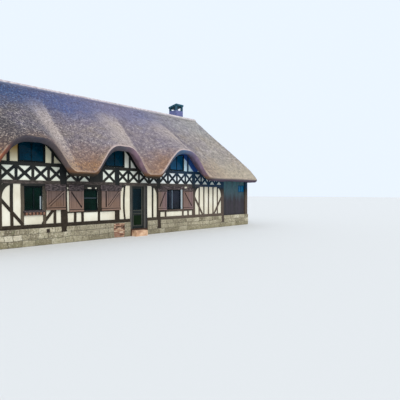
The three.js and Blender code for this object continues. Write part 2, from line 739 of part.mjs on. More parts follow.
addPiece('window_1', windowPiece(WINDOW_1, SASH_Y, PANE_Y), 'window');
addPiece('window_2', windowPiece(WINDOW_2, SASH_Y, PANE_Y), 'window');
addPiece('window_3', windowPiece(WINDOW_3, SASH_Y, PANE_Y), 'window');
const bayPaneY = [boardY[0] + 25, boardY[0] + 33];
addPiece('boarded_bay_window', windowPiece(BAY_WINDOW, boardY, bayPaneY), 'window');
BACK_WINDOWS.forEach((opening, k) => {
  addPiece(`back_window_${k + 1}`, windowPiece(opening, mirrored(SASH_Y), mirrored(PANE_Y)), 'window');
});
DORMERS.forEach((centre, k) => {
  const frame = slabXZ(dormerHoleOutline(centre, GAP), SASH_Y)
    .subtract(slabXZ(dormerHoleOutline(centre, SASH), [SASH_Y[0] - 1, SASH_Y[1] + 1]));
  const pane = slabXZ(dormerHoleOutline(centre, SASH - BITE), PANE_Y);
  addPiece(`dormer_window_${k + 1}`, frame.add(pane), 'window');
});

// Shutters folded back flat on the wall beside the windows.
SHUTTERS.forEach((x, k) => {
  const y = [-FRAME_Y - GAP - SHUTTER_THICK, -FRAME_Y - GAP];
  addPiece(`shutter_${k + 1}`, box(x, y, SHUTTER_LEVELS[k]), 'shutter');
});

// Door: frame with its hinge pins, and the glazed leaf that turns on them.
function hingePin(level) {
  const low = [level - KNUCKLE_H / 2 - ARM_H, level - KNUCKLE_H / 2 - GAP];
  const high = [level + KNUCKLE_H / 2 + GAP, level + KNUCKLE_H / 2 + ARM_H];
  const arms = [low, high].map((z) => join([
    box([DOOR_LEFT - BITE, HINGE_X], [HINGE_Y - ARM_HALF, HINGE_Y + ARM_HALF], z),
    pin(HINGE_X, HINGE_Y, z, KNUCKLE_R - 1),
  ]));
  return join([...arms, pin(HINGE_X, HINGE_Y, [low[0], high[1]], PIN_R)]);
}

function doorFrame() {
  const y = [-FRAME_Y, -FRAME_Y + WALL_DEEP];
  const z = [THRESHOLD_TOP + GAP, RAIL_BOTTOM - GAP];
  return join([
    box([JAMB_LEFT, DOOR_LEFT], y, z),
    box([DOOR_RIGHT, JAMB_RIGHT], y, z),
    box([JAMB_LEFT, JAMB_RIGHT], y, [DOOR_HEAD, z[1]]),
    ...HINGE_LEVELS.map(hingePin),
  ]);
}

const LEAF_Y = [-LEAF_OUTER, -LEAF_OUTER + LEAF_THICK];
const LEAF_X = [DOOR_LEFT + LEAF_CLEAR, DOOR_RIGHT - LEAF_CLEAR];
const LEAF_STILE = 95;
const LEAF_GLASS = [1220, LEAF_TOP - 110];
const BOTTOM_RAIL = 140;
const LOCK_RAIL = 120;
const PANEL_DEEP = 12;
const REBATE = 10;
const GLASS_THICK = 8;
const glassMiddle = (LEAF_Y[0] + LEAF_Y[1]) / 2;
const GLASS_Y = [glassMiddle - GLASS_THICK / 2, glassMiddle + GLASS_THICK / 2];
function doorLeaf() {
  const between = [LEAF_X[0] + LEAF_STILE, LEAF_X[1] - LEAF_STILE];
  const glassHole = box(between, [LEAF_Y[0] - 1, LEAF_Y[1] + 1], LEAF_GLASS);
  const panelZ = [LEAF_BOTTOM + BOTTOM_RAIL, LEAF_GLASS[0] - LOCK_RAIL];
  const panel = box(between, [LEAF_Y[0] - 1, LEAF_Y[0] + PANEL_DEEP], panelZ);
  const rebate = box([between[0] - REBATE, between[1] + REBATE],
    [GLASS_Y[0] - GAP, GLASS_Y[1] + GAP], [LEAF_GLASS[0] - REBATE, LEAF_GLASS[1] + REBATE]);
  const leaf = cut(box(LEAF_X, LEAF_Y, [LEAF_BOTTOM, LEAF_TOP]), [glassHole, panel, rebate]);
  const knuckles = HINGE_LEVELS.map((level) => {
    const z = [level - KNUCKLE_H / 2, level + KNUCKLE_H / 2];
    const flap = box([HINGE_X, HINGE_X + FLAP], [LEAF_Y[1] - BITE, HINGE_Y], z);
    const bore = pin(HINGE_X, HINGE_Y, [z[0] - 1, z[1] + 1], PIN_R + GAP);
    return flap.add(pin(HINGE_X, HINGE_Y, z, KNUCKLE_R)).subtract(bore);
  });
  return join([leaf, ...knuckles]);
}

function doorGlass() {
  const lap = REBATE - GAP;
  const x = [LEAF_X[0] + LEAF_STILE - lap, LEAF_X[1] - LEAF_STILE + lap];
  return box(x, GLASS_Y, [LEAF_GLASS[0] - lap, LEAF_GLASS[1] + lap]);
}

// Lever handle on its plate, outside on the edge away from the hinges.
const HANDLE_INSET = 55;
const HANDLE_REACH = 50;
const PLATE_HALF = 20;
const PLATE_THICK = 8;
const PLATE_Z = [1270, 1490];
const SPINDLE_HALF = 8;
const SPINDLE_Z = [1390, 1406];
const LEVER_LONG = 120;
const LEVER_THICK = 14;
const LEVER_Z = [1388, 1408];
function doorHandle() {
  const x = LEAF_X[1] - HANDLE_INSET;
  const outer = LEAF_Y[0] - GAP;
  const grip = outer - HANDLE_REACH;
  return join([
    box([x - PLATE_HALF, x + PLATE_HALF], [outer - PLATE_THICK, outer], PLATE_Z),
    box([x - SPINDLE_HALF, x + SPINDLE_HALF], [grip, outer - PLATE_THICK / 2], SPINDLE_Z),
    box([x - LEVER_LONG, x + SPINDLE_HALF], [grip, grip + LEVER_THICK], LEVER_Z),
  ]);
}

addPiece('door_frame', doorFrame(), 'door');
addPiece('door_leaf', doorLeaf(), 'door');
addPiece('door_glass', doorGlass(), 'window');
addPiece('door_handle', doorHandle(), 'door');

export default cottage;
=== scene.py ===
# Thatched half-timbered cottage: the finish of every surface, in metres.
# The file follows the house as it is built, from the stone plinth up to the ridge and the chimney.
import math
import random

import bpy
from mathutils import Matrix, Vector, noise


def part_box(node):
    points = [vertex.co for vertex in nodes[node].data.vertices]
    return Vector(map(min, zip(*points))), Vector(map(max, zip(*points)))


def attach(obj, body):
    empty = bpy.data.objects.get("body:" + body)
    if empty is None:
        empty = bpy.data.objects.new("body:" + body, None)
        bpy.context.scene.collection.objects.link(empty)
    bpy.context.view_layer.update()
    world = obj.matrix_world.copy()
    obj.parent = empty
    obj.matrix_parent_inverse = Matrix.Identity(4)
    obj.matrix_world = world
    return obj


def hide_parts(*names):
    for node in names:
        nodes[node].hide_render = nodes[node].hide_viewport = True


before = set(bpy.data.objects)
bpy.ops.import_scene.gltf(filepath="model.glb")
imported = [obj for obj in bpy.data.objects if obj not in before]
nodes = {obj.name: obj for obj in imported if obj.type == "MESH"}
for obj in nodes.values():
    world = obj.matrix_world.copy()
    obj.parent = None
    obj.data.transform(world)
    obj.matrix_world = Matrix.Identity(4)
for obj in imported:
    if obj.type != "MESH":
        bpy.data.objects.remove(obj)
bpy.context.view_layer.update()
bpy.ops.object.select_all(action="DESELECT")

# The view: a standing eye on the lawn in front of the left end, looking across the front.
# Lens and turn come from the horizon and the vanishing point of the long wall.
EYE = Vector((-12.89, -18.45, 2.10))
LOOK = Vector((0.7526, 0.6585, -0.0175))
LENS = 36.0
SENSOR = 36.0
bpy.ops.object.camera_add(location=EYE, rotation=LOOK.to_track_quat("-Z", "Y").to_euler())
camera = bpy.context.object
camera.data.sensor_width = SENSOR
camera.data.lens = LENS
bpy.context.scene.camera = camera

# The stage: a pale floor level with the lowest ground, and soft light from a wide sky.
# One broad lamp stands high in front of the house, a little to its left, and softens every shadow.
FLOOR_SIZE = 400.0
SUN_TILT, SUN_TURN, SUN_SPREAD = 46, -25, 45
SUN_POWER = 2.0
SKY_POWER = 1.05
bpy.ops.mesh.primitive_plane_add(size=FLOOR_SIZE)
stage_floor = bpy.context.object
stage_floor.name = "stage_floor"
stage_paint = bpy.data.materials.new("stage_paint")
stage_paint.use_nodes = True
stage_shader = stage_paint.node_tree.nodes["Principled BSDF"]
stage_shader.inputs["Base Color"].default_value = (0.62, 0.62, 0.6, 1)
stage_shader.inputs["Roughness"].default_value = 0.9
stage_floor.data.materials.append(stage_paint)
bpy.ops.object.light_add(type="SUN", rotation=(math.radians(SUN_TILT), 0, math.radians(SUN_TURN)))
sun = bpy.context.object.data
sun.energy = SUN_POWER
sun.angle = math.radians(SUN_SPREAD)
sun.color = (1.0, 0.97, 0.92)
sky = bpy.data.worlds.new("studio_sky")
sky.use_nodes = True
background = sky.node_tree.nodes["Background"]
background.inputs["Color"].default_value = (0.80, 0.88, 1.0, 1)
background.inputs["Strength"].default_value = SKY_POWER
bpy.context.scene.world = sky
bpy.context.scene.view_settings.view_transform = "Standard"

# Stone plinth: rubble blocks laid in three rough courses in lime mortar, all round the house.
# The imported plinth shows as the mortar, and the blocks stand a little proud of it.
# A patch beside the door is made good in brick, and a small vent is let in further to the left.

# Vector noise takes its offsets from the clock unless it has a seed.
NOISE_SEED = 7
noise.seed_set(NOISE_SEED)


class Wire:
    """One output of a shader node. Sums and products on it add Math nodes."""

    def __init__(self, finish, socket):
        self.finish = finish
        self.socket = socket

    def worked(self, operation, first, second):
        return self.finish.add("ShaderNodeMath", {"operation": operation}, {0: first, 1: second})

    def __add__(self, other):
        return self.worked("ADD", self, other)

    def __radd__(self, other):
        return self.worked("ADD", other, self)

    def __sub__(self, other):
        return self.worked("SUBTRACT", self, other)

    def __rsub__(self, other):
        return self.worked("SUBTRACT", other, self)

    def __mul__(self, other):
        return self.worked("MULTIPLY", self, other)


class Finish:
    """A material made of nodes round its Principled shader."""

    def __init__(self, name):
        self.material = bpy.data.materials.new(name)
        self.material.use_nodes = True
        self.tree = self.material.node_tree
        self.shader = self.tree.nodes["Principled BSDF"]
        self.place = self.add("ShaderNodeTexCoord", {}, {}, "Object")

    def add(self, kind, settings, sockets, output=0):
        node = self.tree.nodes.new(kind)
        for key, value in settings.items():
            if key == "stops":
                self.set_stops(node.color_ramp, value)
            else:
                setattr(node, key, value)
        for key, value in sockets.items():
            self.feed(node.inputs[key], value)
        return Wire(self, node.outputs[output])

    def feed(self, socket, value):
        if isinstance(value, Wire):
            self.tree.links.new(value.socket, socket)
        elif isinstance(value, tuple) and len(value) == 3 and socket.type == "RGBA":
            socket.default_value = (*value, 1)
        else:
            socket.default_value = value

    def set_stops(self, ramp, stops):
        while len(ramp.elements) < len(stops):
            ramp.elements.new(0.5)
        for element, (position, colour) in zip(ramp.elements, stops):
            element.position = position
            element.color = (*colour, 1)

    def stretched(self, stretch, source=None):
        return self.add("ShaderNodeMapping", {}, {"Vector": source or self.place, "Scale": stretch})

    def cloud(self, scale, detail=4.0, vector=None, rough=0.6):
        sockets = {"Vector": vector or self.place, "Scale": scale, "Detail": detail, "Roughness": rough}
        return self.add("ShaderNodeTexNoise", {}, sockets)

    def cells(self, scale):
        return self.add("ShaderNodeTexVoronoi", {}, {"Vector": self.place, "Scale": scale}, "Distance")

    def ramp(self, factor, stops):
        return self.add("ShaderNodeValToRGB", {"stops": stops}, {"Fac": factor})

    def step(self, value, low, high):
        sockets = {"Value": value, "From Min": low, "From Max": high}
        return self.add("ShaderNodeMapRange", {"clamp": True}, sockets)

    def mix(self, factor, first, second):
        return self.add("ShaderNodeMix", {"data_type": "RGBA"}, {0: factor, 6: first, 7: second}, 2)

    def tint(self):
        return self.add("ShaderNodeAttribute", {"attribute_name": "tint"}, {}, "Fac")

    def axis(self, name):
        return self.add("ShaderNodeSeparateXYZ", {}, {"Vector": self.place}, name)

    def zone(self, name, low, high):
        """Grows along an axis of the house, from 0 at low to 1 at high."""
        return self.step(self.axis(name), low, high)

    def show(self, colour, roughness, height=None, strength=0.5, distance=0.01, gloss=0.2):
        self.shader.inputs["Specular IOR Level"].default_value = gloss
        self.feed(self.shader.inputs["Base Color"], colour)
        self.feed(self.shader.inputs["Roughness"], roughness)
        if height is not None:
            sockets = {"Height": height, "Strength": strength, "Distance": distance}
            bump = self.add("ShaderNodeBump", {}, sockets)
            self.feed(self.shader.inputs["Normal"], bump)
        return self.material


def pick(*pieces):
    """Selects these pieces alone and makes the first one active."""
    bpy.ops.object.select_all(action="DESELECT")
    for piece in pieces:
        piece.select_set(True)
    bpy.context.view_layer.objects.active = pieces[0]


def soften(piece, width, clamped=True):
    """Bevels the edges of the active piece."""
    bevel = piece.modifiers.new("soften", "BEVEL")
    bevel.width = width
    bevel.segments = 2
    bevel.use_clamp_overlap = clamped
    bpy.ops.object.modifier_apply(modifier="soften")


def block_template(bevel, cuts=0):
    """A unit block about the origin, cut for shaping, with softened edges."""
    bpy.ops.object.select_all(action="DESELECT")
    bpy.ops.mesh.primitive_cube_add(size=1)
    block = bpy.context.object
    if cuts:
        bpy.ops.object.mode_set(mode="EDIT")
        bpy.ops.mesh.select_all(action="SELECT")
        bpy.ops.mesh.subdivide(number_cuts=cuts)
        bpy.ops.object.mode_set(mode="OBJECT")
    soften(block, bevel)
    return block


def add_tint(piece, tone):
    """Gives a piece its own tone, which its finish reads."""
    tint = piece.data.attributes.new("tint", "FLOAT", "POINT")
    tint.data.foreach_set("value", [tone] * len(piece.data.vertices))


def copy_to(template, low, high, rough=0.0, seed=0.0, tone=None):
    """A copy of a unit block that fills the box between two corners, its surface moved a little.

    Where no tone is given, it gets one by its place.
    """
    piece = template.copy()
    piece.data = template.data.copy()
    bpy.context.collection.objects.link(piece)
    low, high = Vector(low), Vector(high)
    size = high - low
    centre = (low + high) / 2
    piece.data.transform(Matrix.Translation(centre) @ Matrix.Diagonal((*size, 1)))
    if rough:
        for vertex in piece.data.vertices:
            vertex.co += rough * noise.noise_vector(vertex.co * 9 + Vector((seed, seed, seed)))
    if tone is None:
        tone = noise.noise(centre * 7.3 + Vector((seed, 0.37, 0.61))) * 0.9 + 0.5
    add_tint(piece, tone)
    return piece


def join_all(pieces, name):
    pick(*pieces)
    bpy.ops.object.join()
    whole = bpy.context.object
    whole.name = name
    whole.data.name = name
    return whole


def face_outwards(piece):
    pick(piece)
    bpy.ops.object.mode_set(mode="EDIT")
    bpy.ops.mesh.select_all(action="SELECT")
    bpy.ops.mesh.normals_make_consistent(inside=False)
    bpy.ops.object.mode_set(mode="OBJECT")


def smooth(piece, angle=35):
    pick(piece)
    bpy.ops.object.shade_smooth_by_angle(angle=math.radians(angle))


def set_piece(piece, material, replaced=(), body="house"):
    piece.data.materials.clear()
    piece.data.materials.append(material)
    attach(piece, body)
    if replaced:
        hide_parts(*replaced)


def dress(names, material):
    for name in names:
        nodes[name].data.materials.clear()
        nodes[name].data.materials.append(material)


def remove(template):
    bpy.data.objects.remove(template, do_unlink=True)


def assemble(pieces, template, name, material, replaced=(), body="house"):
    """Joins copies of a template into one finished piece, and removes the template."""
    whole = join_all(pieces, name)
    remove(template)
    set_piece(whole, material, replaced, body)


def grained(name, scale, detail, tones, rough, relief, gloss=0.2, stretch=None):
    """A finish with its tones laid on one grain, which is also its relief of (strength, distance)."""
    finish = Finish(name)
    grain = finish.cloud(scale, detail, finish.stretched(stretch) if stretch else None)
    return finish.show(finish.ramp(grain, tones), rough, grain, *relief, gloss)


def stone_finish():
    stone = Finish("plinth_stone")
    grain = stone.cloud(15, 6, rough=0.7)
    tones = [(0.1, (0.15, 0.125, 0.080)), (0.4, (0.27, 0.235, 0.155)), (0.7, (0.40, 0.355, 0.245)),
             (1.0, (0.60, 0.55, 0.42))]
    base = stone.ramp(stone.tint() * 0.7 + stone.cloud(2.2, 4) * 0.9 - 0.3, tones)
    pitted = stone.mix(stone.step(grain, 0.47, 0.35) * 0.9, base, (0.10, 0.09, 0.065))
    chalky = stone.mix(stone.step(grain, 0.53, 0.66) * 0.8, pitted, (0.62, 0.565, 0.44))
    lichen = stone.step(stone.cloud(4.5, 5), 0.55, 0.70) * 0.4
    lichen_and_shade_green = stone.mix(lichen, chalky, (0.25, 0.27, 0.15))
    low = stone.step(stone.axis("Z") + stone.cloud(2.5, 4) * 0.4, 0.55, 0.20)
    soiled = stone.mix(low * 0.5, lichen_and_shade_green, (0.19, 0.17, 0.09))
    middle = stone.zone("X", -4.6, -2.5) * stone.zone("X", 4.6, 3.0)
    dulled = stone.mix(middle * 0.33, soiled, (0.18, 0.155, 0.11))
    return stone.show(dulled, 0.92, grain + stone.cells(30) * 0.4, 0.8, 0.015)


def mortar_finish():
    mortar = Finish("lime_mortar")
    patch = mortar.cloud(2.5, 5)
    base = mortar.ramp(patch, [(0.35, (0.09, 0.08, 0.055)), (0.65, (0.24, 0.22, 0.165))])
    return mortar.show(base, 0.95, mortar.cloud(35, 5), 0.6, 0.006)


def brick_finish():
    brick = Finish("old_brick")
    tones = [(0.0, (0.040, 0.020, 0.014)), (0.3, (0.23, 0.105, 0.065)), (0.6, (0.44, 0.27, 0.17)),
             (1.0, (0.64, 0.48, 0.34))]
    base = brick.ramp(brick.tint() + brick.cloud(6, 3) * 0.2 - 0.1, tones)
    worn = brick.mix(brick.step(brick.cloud(25, 5), 0.55, 0.7) * 0.5, base, (0.5, 0.42, 0.34))
    return brick.show(worn, 0.9, brick.cloud(40, 5), 0.5, 0.004)


stone_paint = stone_finish()
mortar_paint = mortar_finish()
brick_paint = brick_finish()

PLINTH_X = 9.53
PLINTH_Y = 3.13
PLINTH_TOP = 0.70
COURSES = [0.0, 0.25, 0.48, 0.70]
STONE_PROUD = 0.022
STONE_BED = 0.03
JOINT = 0.018
FEET = {-4.02: 0.40, 1.39: 0.27, 6.78: 0.30}
DOOR_GAP = (-0.50, 0.60)
STEP_GAP = (-0.50, 0.31)
NOTCH_HALF = 0.125
NOTCH_SPARE = 0.09
BRICK_PATCH = (-1.50, -0.86)
STONE_LENGTHS = (0.28, 0.70)
SHORTEST_STONE = 0.2
LEAST_ROOM = 0.05
TOUCH = 0.001
BED_WANDER = 0.06
WANDER_FADE = 0.4


def course_stones(run, out, start, stop, level, rng, holes):
    """Blocks of one course along a wall: run and out are unit vectors along it and out of it."""
    stones = []
    at = start
    low, high = COURSES[level], COURSES[level + 1]
    while at < stop - LEAST_ROOM:
        end = min(stop, at + rng.uniform(*STONE_LENGTHS))
        if stop - end < SHORTEST_STONE:
            end = stop
        for hole_start, hole_stop in holes:
            if at < hole_start < end:
                end = hole_start
        inside = [hole_stop for hole_start, hole_stop in holes if hole_start - TOUCH <= at < hole_stop]
        if inside:
            at = min(inside)
            continue
        proud = STONE_PROUD * rng.uniform(0.5, 1.0)
        corners = [run * (at + JOINT / 2) - out * STONE_BED, run * (end - JOINT / 2) + out * proud]
        box_low = Vector([min(a, b) for a, b in zip(*corners)])
        box_high = Vector([max(a, b) for a, b in zip(*corners)])
        box_low.z, box_high.z = low + JOINT / 2, high - JOINT / 2
        stones.append((box_low, box_high))
        at = end
    return stones


def settle(piece, run, steady_at):
    """Moves a block's points as the beds and joints of old rubble wander, but not at the openings."""
    for vertex in piece.data.vertices:
        along = vertex.co.dot(run)
        rise = vertex.co.z / PLINTH_TOP
        side = 9 * run.y
        bulge = 4 * rise * (1 - rise)
        lift = BED_WANDER * bulge * noise.noise(Vector((along * 1.7, vertex.co.z * 2, side)))
        steady = min(1.0, min(abs(along - edge) for edge in steady_at) / WANDER_FADE)
        slide = BED_WANDER * steady * noise.noise(Vector((along * 2.1, vertex.co.z * 6 + 31, side)))
        vertex.co += run * slide + Vector((0, 0, lift))


def build_plinth_stones():
    rng = random.Random(7)
    template = block_template(0.07, 2)
    along_x, along_y = Vector((1, 0, 0)), Vector((0, 1, 0))
    walls = [(along_x, -along_y, PLINTH_X, PLINTH_Y), (along_x, along_y, PLINTH_X, PLINTH_Y),
             (along_y, -along_x, PLINTH_Y, PLINTH_X), (along_y, along_x, PLINTH_Y, PLINTH_X)]
    pieces = []
    for side, (run, out, stop, face) in enumerate(walls):
        start = -stop
        shift = out * face
        front = side == 0
        steady_at = [start, stop, *DOOR_GAP, *BRICK_PATCH] if front else [start, stop]
        for level in range(len(COURSES) - 1):
            holes = [STEP_GAP if level == 0 else DOOR_GAP, BRICK_PATCH] if front else []
            if front:
                holes += [(x - NOTCH_HALF, x + NOTCH_HALF) for x, foot in FEET.items()
                          if COURSES[level + 1] > foot + NOTCH_SPARE]
            for low, high in course_stones(run, out, start, stop, level, rng, sorted(holes)):
                block = copy_to(template, low + shift, high + shift, 0.009, rng.random() * 50)
                settle(block, run, steady_at)
                pieces.append(block)
    whole = join_all(pieces, "plinth_stones")
    remove(template)
    smooth(whole, 50)
    set_piece(whole, stone_paint)


BRICK_LONG = 0.22
BRICK_HIGH = 0.065
BRICK_DEEP = 0.03
BRICK_JOINT = 0.01
BRICK_LEAST = 0.04
PATCH_FACE = -PLINTH_Y - 0.010
PATCH_FOOT = 0.02


def build_brick_patch():
    """Courses of bricks with a ragged edge at both sides."""
    template = block_template(0.05, 1)
    start, stop = BRICK_PATCH
    pieces = []
    level = 0
    z = PATCH_FOOT
    while z + BRICK_HIGH <= PLINTH_TOP + 0.002:
        at = start - (level % 2) * BRICK_LONG / 2
        ragged = 0.06 * noise.noise(Vector((level * 1.7, start, 0.5)))
        while at < stop:
            left, right = max(start - ragged, at), min(stop + ragged, at + BRICK_LONG - BRICK_JOINT)
            if right - left > BRICK_LEAST:
                pieces.append(copy_to(template, (left, PATCH_FACE, z),
                                      (right, PATCH_FACE + BRICK_DEEP, z + BRICK_HIGH - BRICK_JOINT), 0.003))
            at += BRICK_LONG
        z += BRICK_HIGH
        level += 1
    assemble(pieces, template, "plinth_brick_patch", brick_paint)


VENT = (-4.82, -4.68, 0.50, 0.635)
VENT_RIM = 0.015
VENT_SLAT = 0.012


def build_vent():
    """A small cast vent let into the stones: a frame with two slats before a dark plate."""
    left, right, low, high = VENT
    front = -PLINTH_Y - STONE_PROUD - 0.004
    template = block_template(0.08)
    bars = [(left, left + VENT_RIM, low, high), (right - VENT_RIM, right, low, high)]
    bars += [(left, right, z, z + VENT_SLAT) for z in (low, low + 0.04, low + 0.08, high - VENT_SLAT)]
    pieces = [copy_to(template, (a, front, c), (b, front + 0.03, d)) for a, b, c, d in bars]
    pieces.append(copy_to(template, (left, front + 0.007, low), (right, front + 0.05, high)))
    assemble(pieces, template, "plinth_vent", iron_paint)


iron_paint = grained("dark_iron", 30, 5, [(0.4, (0.012, 0.011, 0.010)), (0.7, (0.07, 0.045, 0.03))], 0.7,
                     (0.4, 0.002))
build_plinth_stones()
build_brick_patch()
build_vent()
dress(["plinth_front_left", "plinth_front_right", "plinth_back", "plinth_left", "plinth_right"], mortar_paint)

# Floors and step: fired floor tiles inside, broad orange tiles on the step at the door,
# and oak boards upstairs, seen through the dormer windows.
TILE = 0.165
TILE_THICK = 0.02
TILE_JOINT = 0.004


def tile_finish():
    tile = Finish("fired_tile")
    tone = tile.cloud(3.2, 3)
    base = tile.ramp(tone, [(0.3, (0.36, 0.20, 0.12)), (0.5, (0.58, 0.36, 0.22)), (0.7, (0.74, 0.54, 0.36))])
    worn = tile.mix(tile.step(tile.cloud(14, 5), 0.5, 0.7) * 0.4, base, (0.5, 0.36, 0.27))
    return tile.show(worn, 0.75, tile.cloud(30, 4), 0.3, 0.003)


def board_floor_finish():
    board = Finish("floor_boards")
    sockets = {"Vector": board.place, "Scale": 1.2, "Distortion": 0.3}
    gaps = board.step(board.add("ShaderNodeTexWave", {"bands_direction": "Y"}, sockets), 0.02, 0.1)
    grain = board.cloud(4, 6, board.stretched((1.0, 14.0, 14.0)))
    base = board.ramp(grain, [(0.3, (0.13, 0.075, 0.04)), (0.7, (0.30, 0.19, 0.11))])
    return board.show(board.mix(gaps, (0.03, 0.02, 0.015), base), 0.6, grain, 0.3, 0.002)


tile_paint = tile_finish()
dress(["ground_floor", "door_step"], tile_paint)
dress(["upper_floor"], board_floor_finish())


def build_step_tiles():
    low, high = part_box("door_step")
    template = block_template(0.06)
    rng = random.Random(3)
    across = round((high.x - low.x) / TILE)
    deep = round((high.y - low.y) / TILE)
    size_x, size_y = (high.x - low.x) / across, (high.y - low.y) / deep
    pieces = []
    for i in range(across):
        for j in range(deep):
            corner = Vector((low.x + i * size_x, low.y + j * size_y, high.z))
            top = TILE_THICK + rng.uniform(0, 0.003)
            pieces.append(copy_to(template, corner + Vector((TILE_JOINT, TILE_JOINT, -TILE_JOINT)),
                                  corner + Vector((size_x - TILE_JOINT, size_y - TILE_JOINT, top)), 0.001))
    assemble(pieces, template, "step_tiles", tile_paint)


build_step_tiles()

# Timber frame: hewn oak posts, sills, rails, studs and braces, pegged together and stained dark.
# The band over the mid rail is close-set with crosses. Each stick is wavy, as it was cut from the tree.
FRAME_X = 9.5
FRAME_Y = 3.1
POSTS = [-9.375, -6.67, -4.02, -1.26, 1.39, 4.11, 6.78, 9.375]
POST_W = 0.25
STUD_W = 0.115
LEANING_POST = 2
POST_LEAN = 0.045
BAND_END = POSTS[6] + POST_W / 2
SILL = (0.70, 0.85)
RAIL = (2.46, 2.60)
PLATE = (3.17, 3.314)
POST_DEEP = 0.115
STUD_DEEP = 0.034
STUD_FOOT, STUD_HEAD = 0.84, 2.47
BRACE_FOOT, BRACE_HEAD = 0.845, 2.465
BAND_FOOT, BAND_HEAD = RAIL[1] - 0.01, PLATE[0] + 0.01
INTO_PLATE = 3.21
CROSS_W = 0.11
BRACE_MEET = 1.93
STICK_CUTS = 10
DARK_STICK, RAIL_TINT, HEAD_BOARD, BLUE_SHADE_BOARD = -0.4, 1.6, 2.0, 3.0


def stick_template():
    """A stick one unit long in X, made by drawing out one end of a short block."""
    bpy.ops.object.select_all(action="DESELECT")
    bpy.ops.mesh.primitive_cube_add(size=1, location=(0.5 / STICK_CUTS, 0, 0.5), scale=(1 / STICK_CUTS, 1, 1))
    bpy.ops.object.transform_apply(location=True, rotation=True, scale=True)
    stick = bpy.context.object
    for face in stick.data.polygons:
        face.select = face.normal.x > 0.9
    for edge in stick.data.edges:
        edge.select = False
    for vertex in stick.data.vertices:
        vertex.select = vertex.co.x > 0.5 / STICK_CUTS
    bpy.ops.object.mode_set(mode="EDIT")
    bpy.ops.mesh.select_mode(type="FACE")
    for _ in range(STICK_CUTS - 1):
        bpy.ops.mesh.extrude_region_move(TRANSFORM_OT_translate={"value": (1 / STICK_CUTS, 0, 0)})
    bpy.ops.object.mode_set(mode="OBJECT")
    soften(stick, 0.05, False)
    stick.data.uv_layers[0].name = "grain"
    return stick


stick = stick_template()


def place_along(points, lengths, share):
    """The point at a share of the path through these points, and the path's heading there."""
    total = sum(lengths)
    within = min(max(share, 0), 1)
    reach = within * total
    leg = 0
    while leg < len(lengths) - 1 and reach > lengths[leg]:
        reach -= lengths[leg]
        leg += 1
    heading = (points[leg + 1] - points[leg]).normalized()
    return points[leg] + heading * (reach + (share - within) * total), heading


def lay_grain(piece, unit_points, length, width, seed):
    """Lays the grain along a stick, with each stick on its own part of it."""
    grain = piece.data.uv_layers["grain"]
    for loop in piece.data.loops:
        co = unit_points[loop.vertex_index]
        grain.data[loop.index].uv = (co.x * length + seed, (co.y + co.z * 0.7) * width + seed * 0.37)


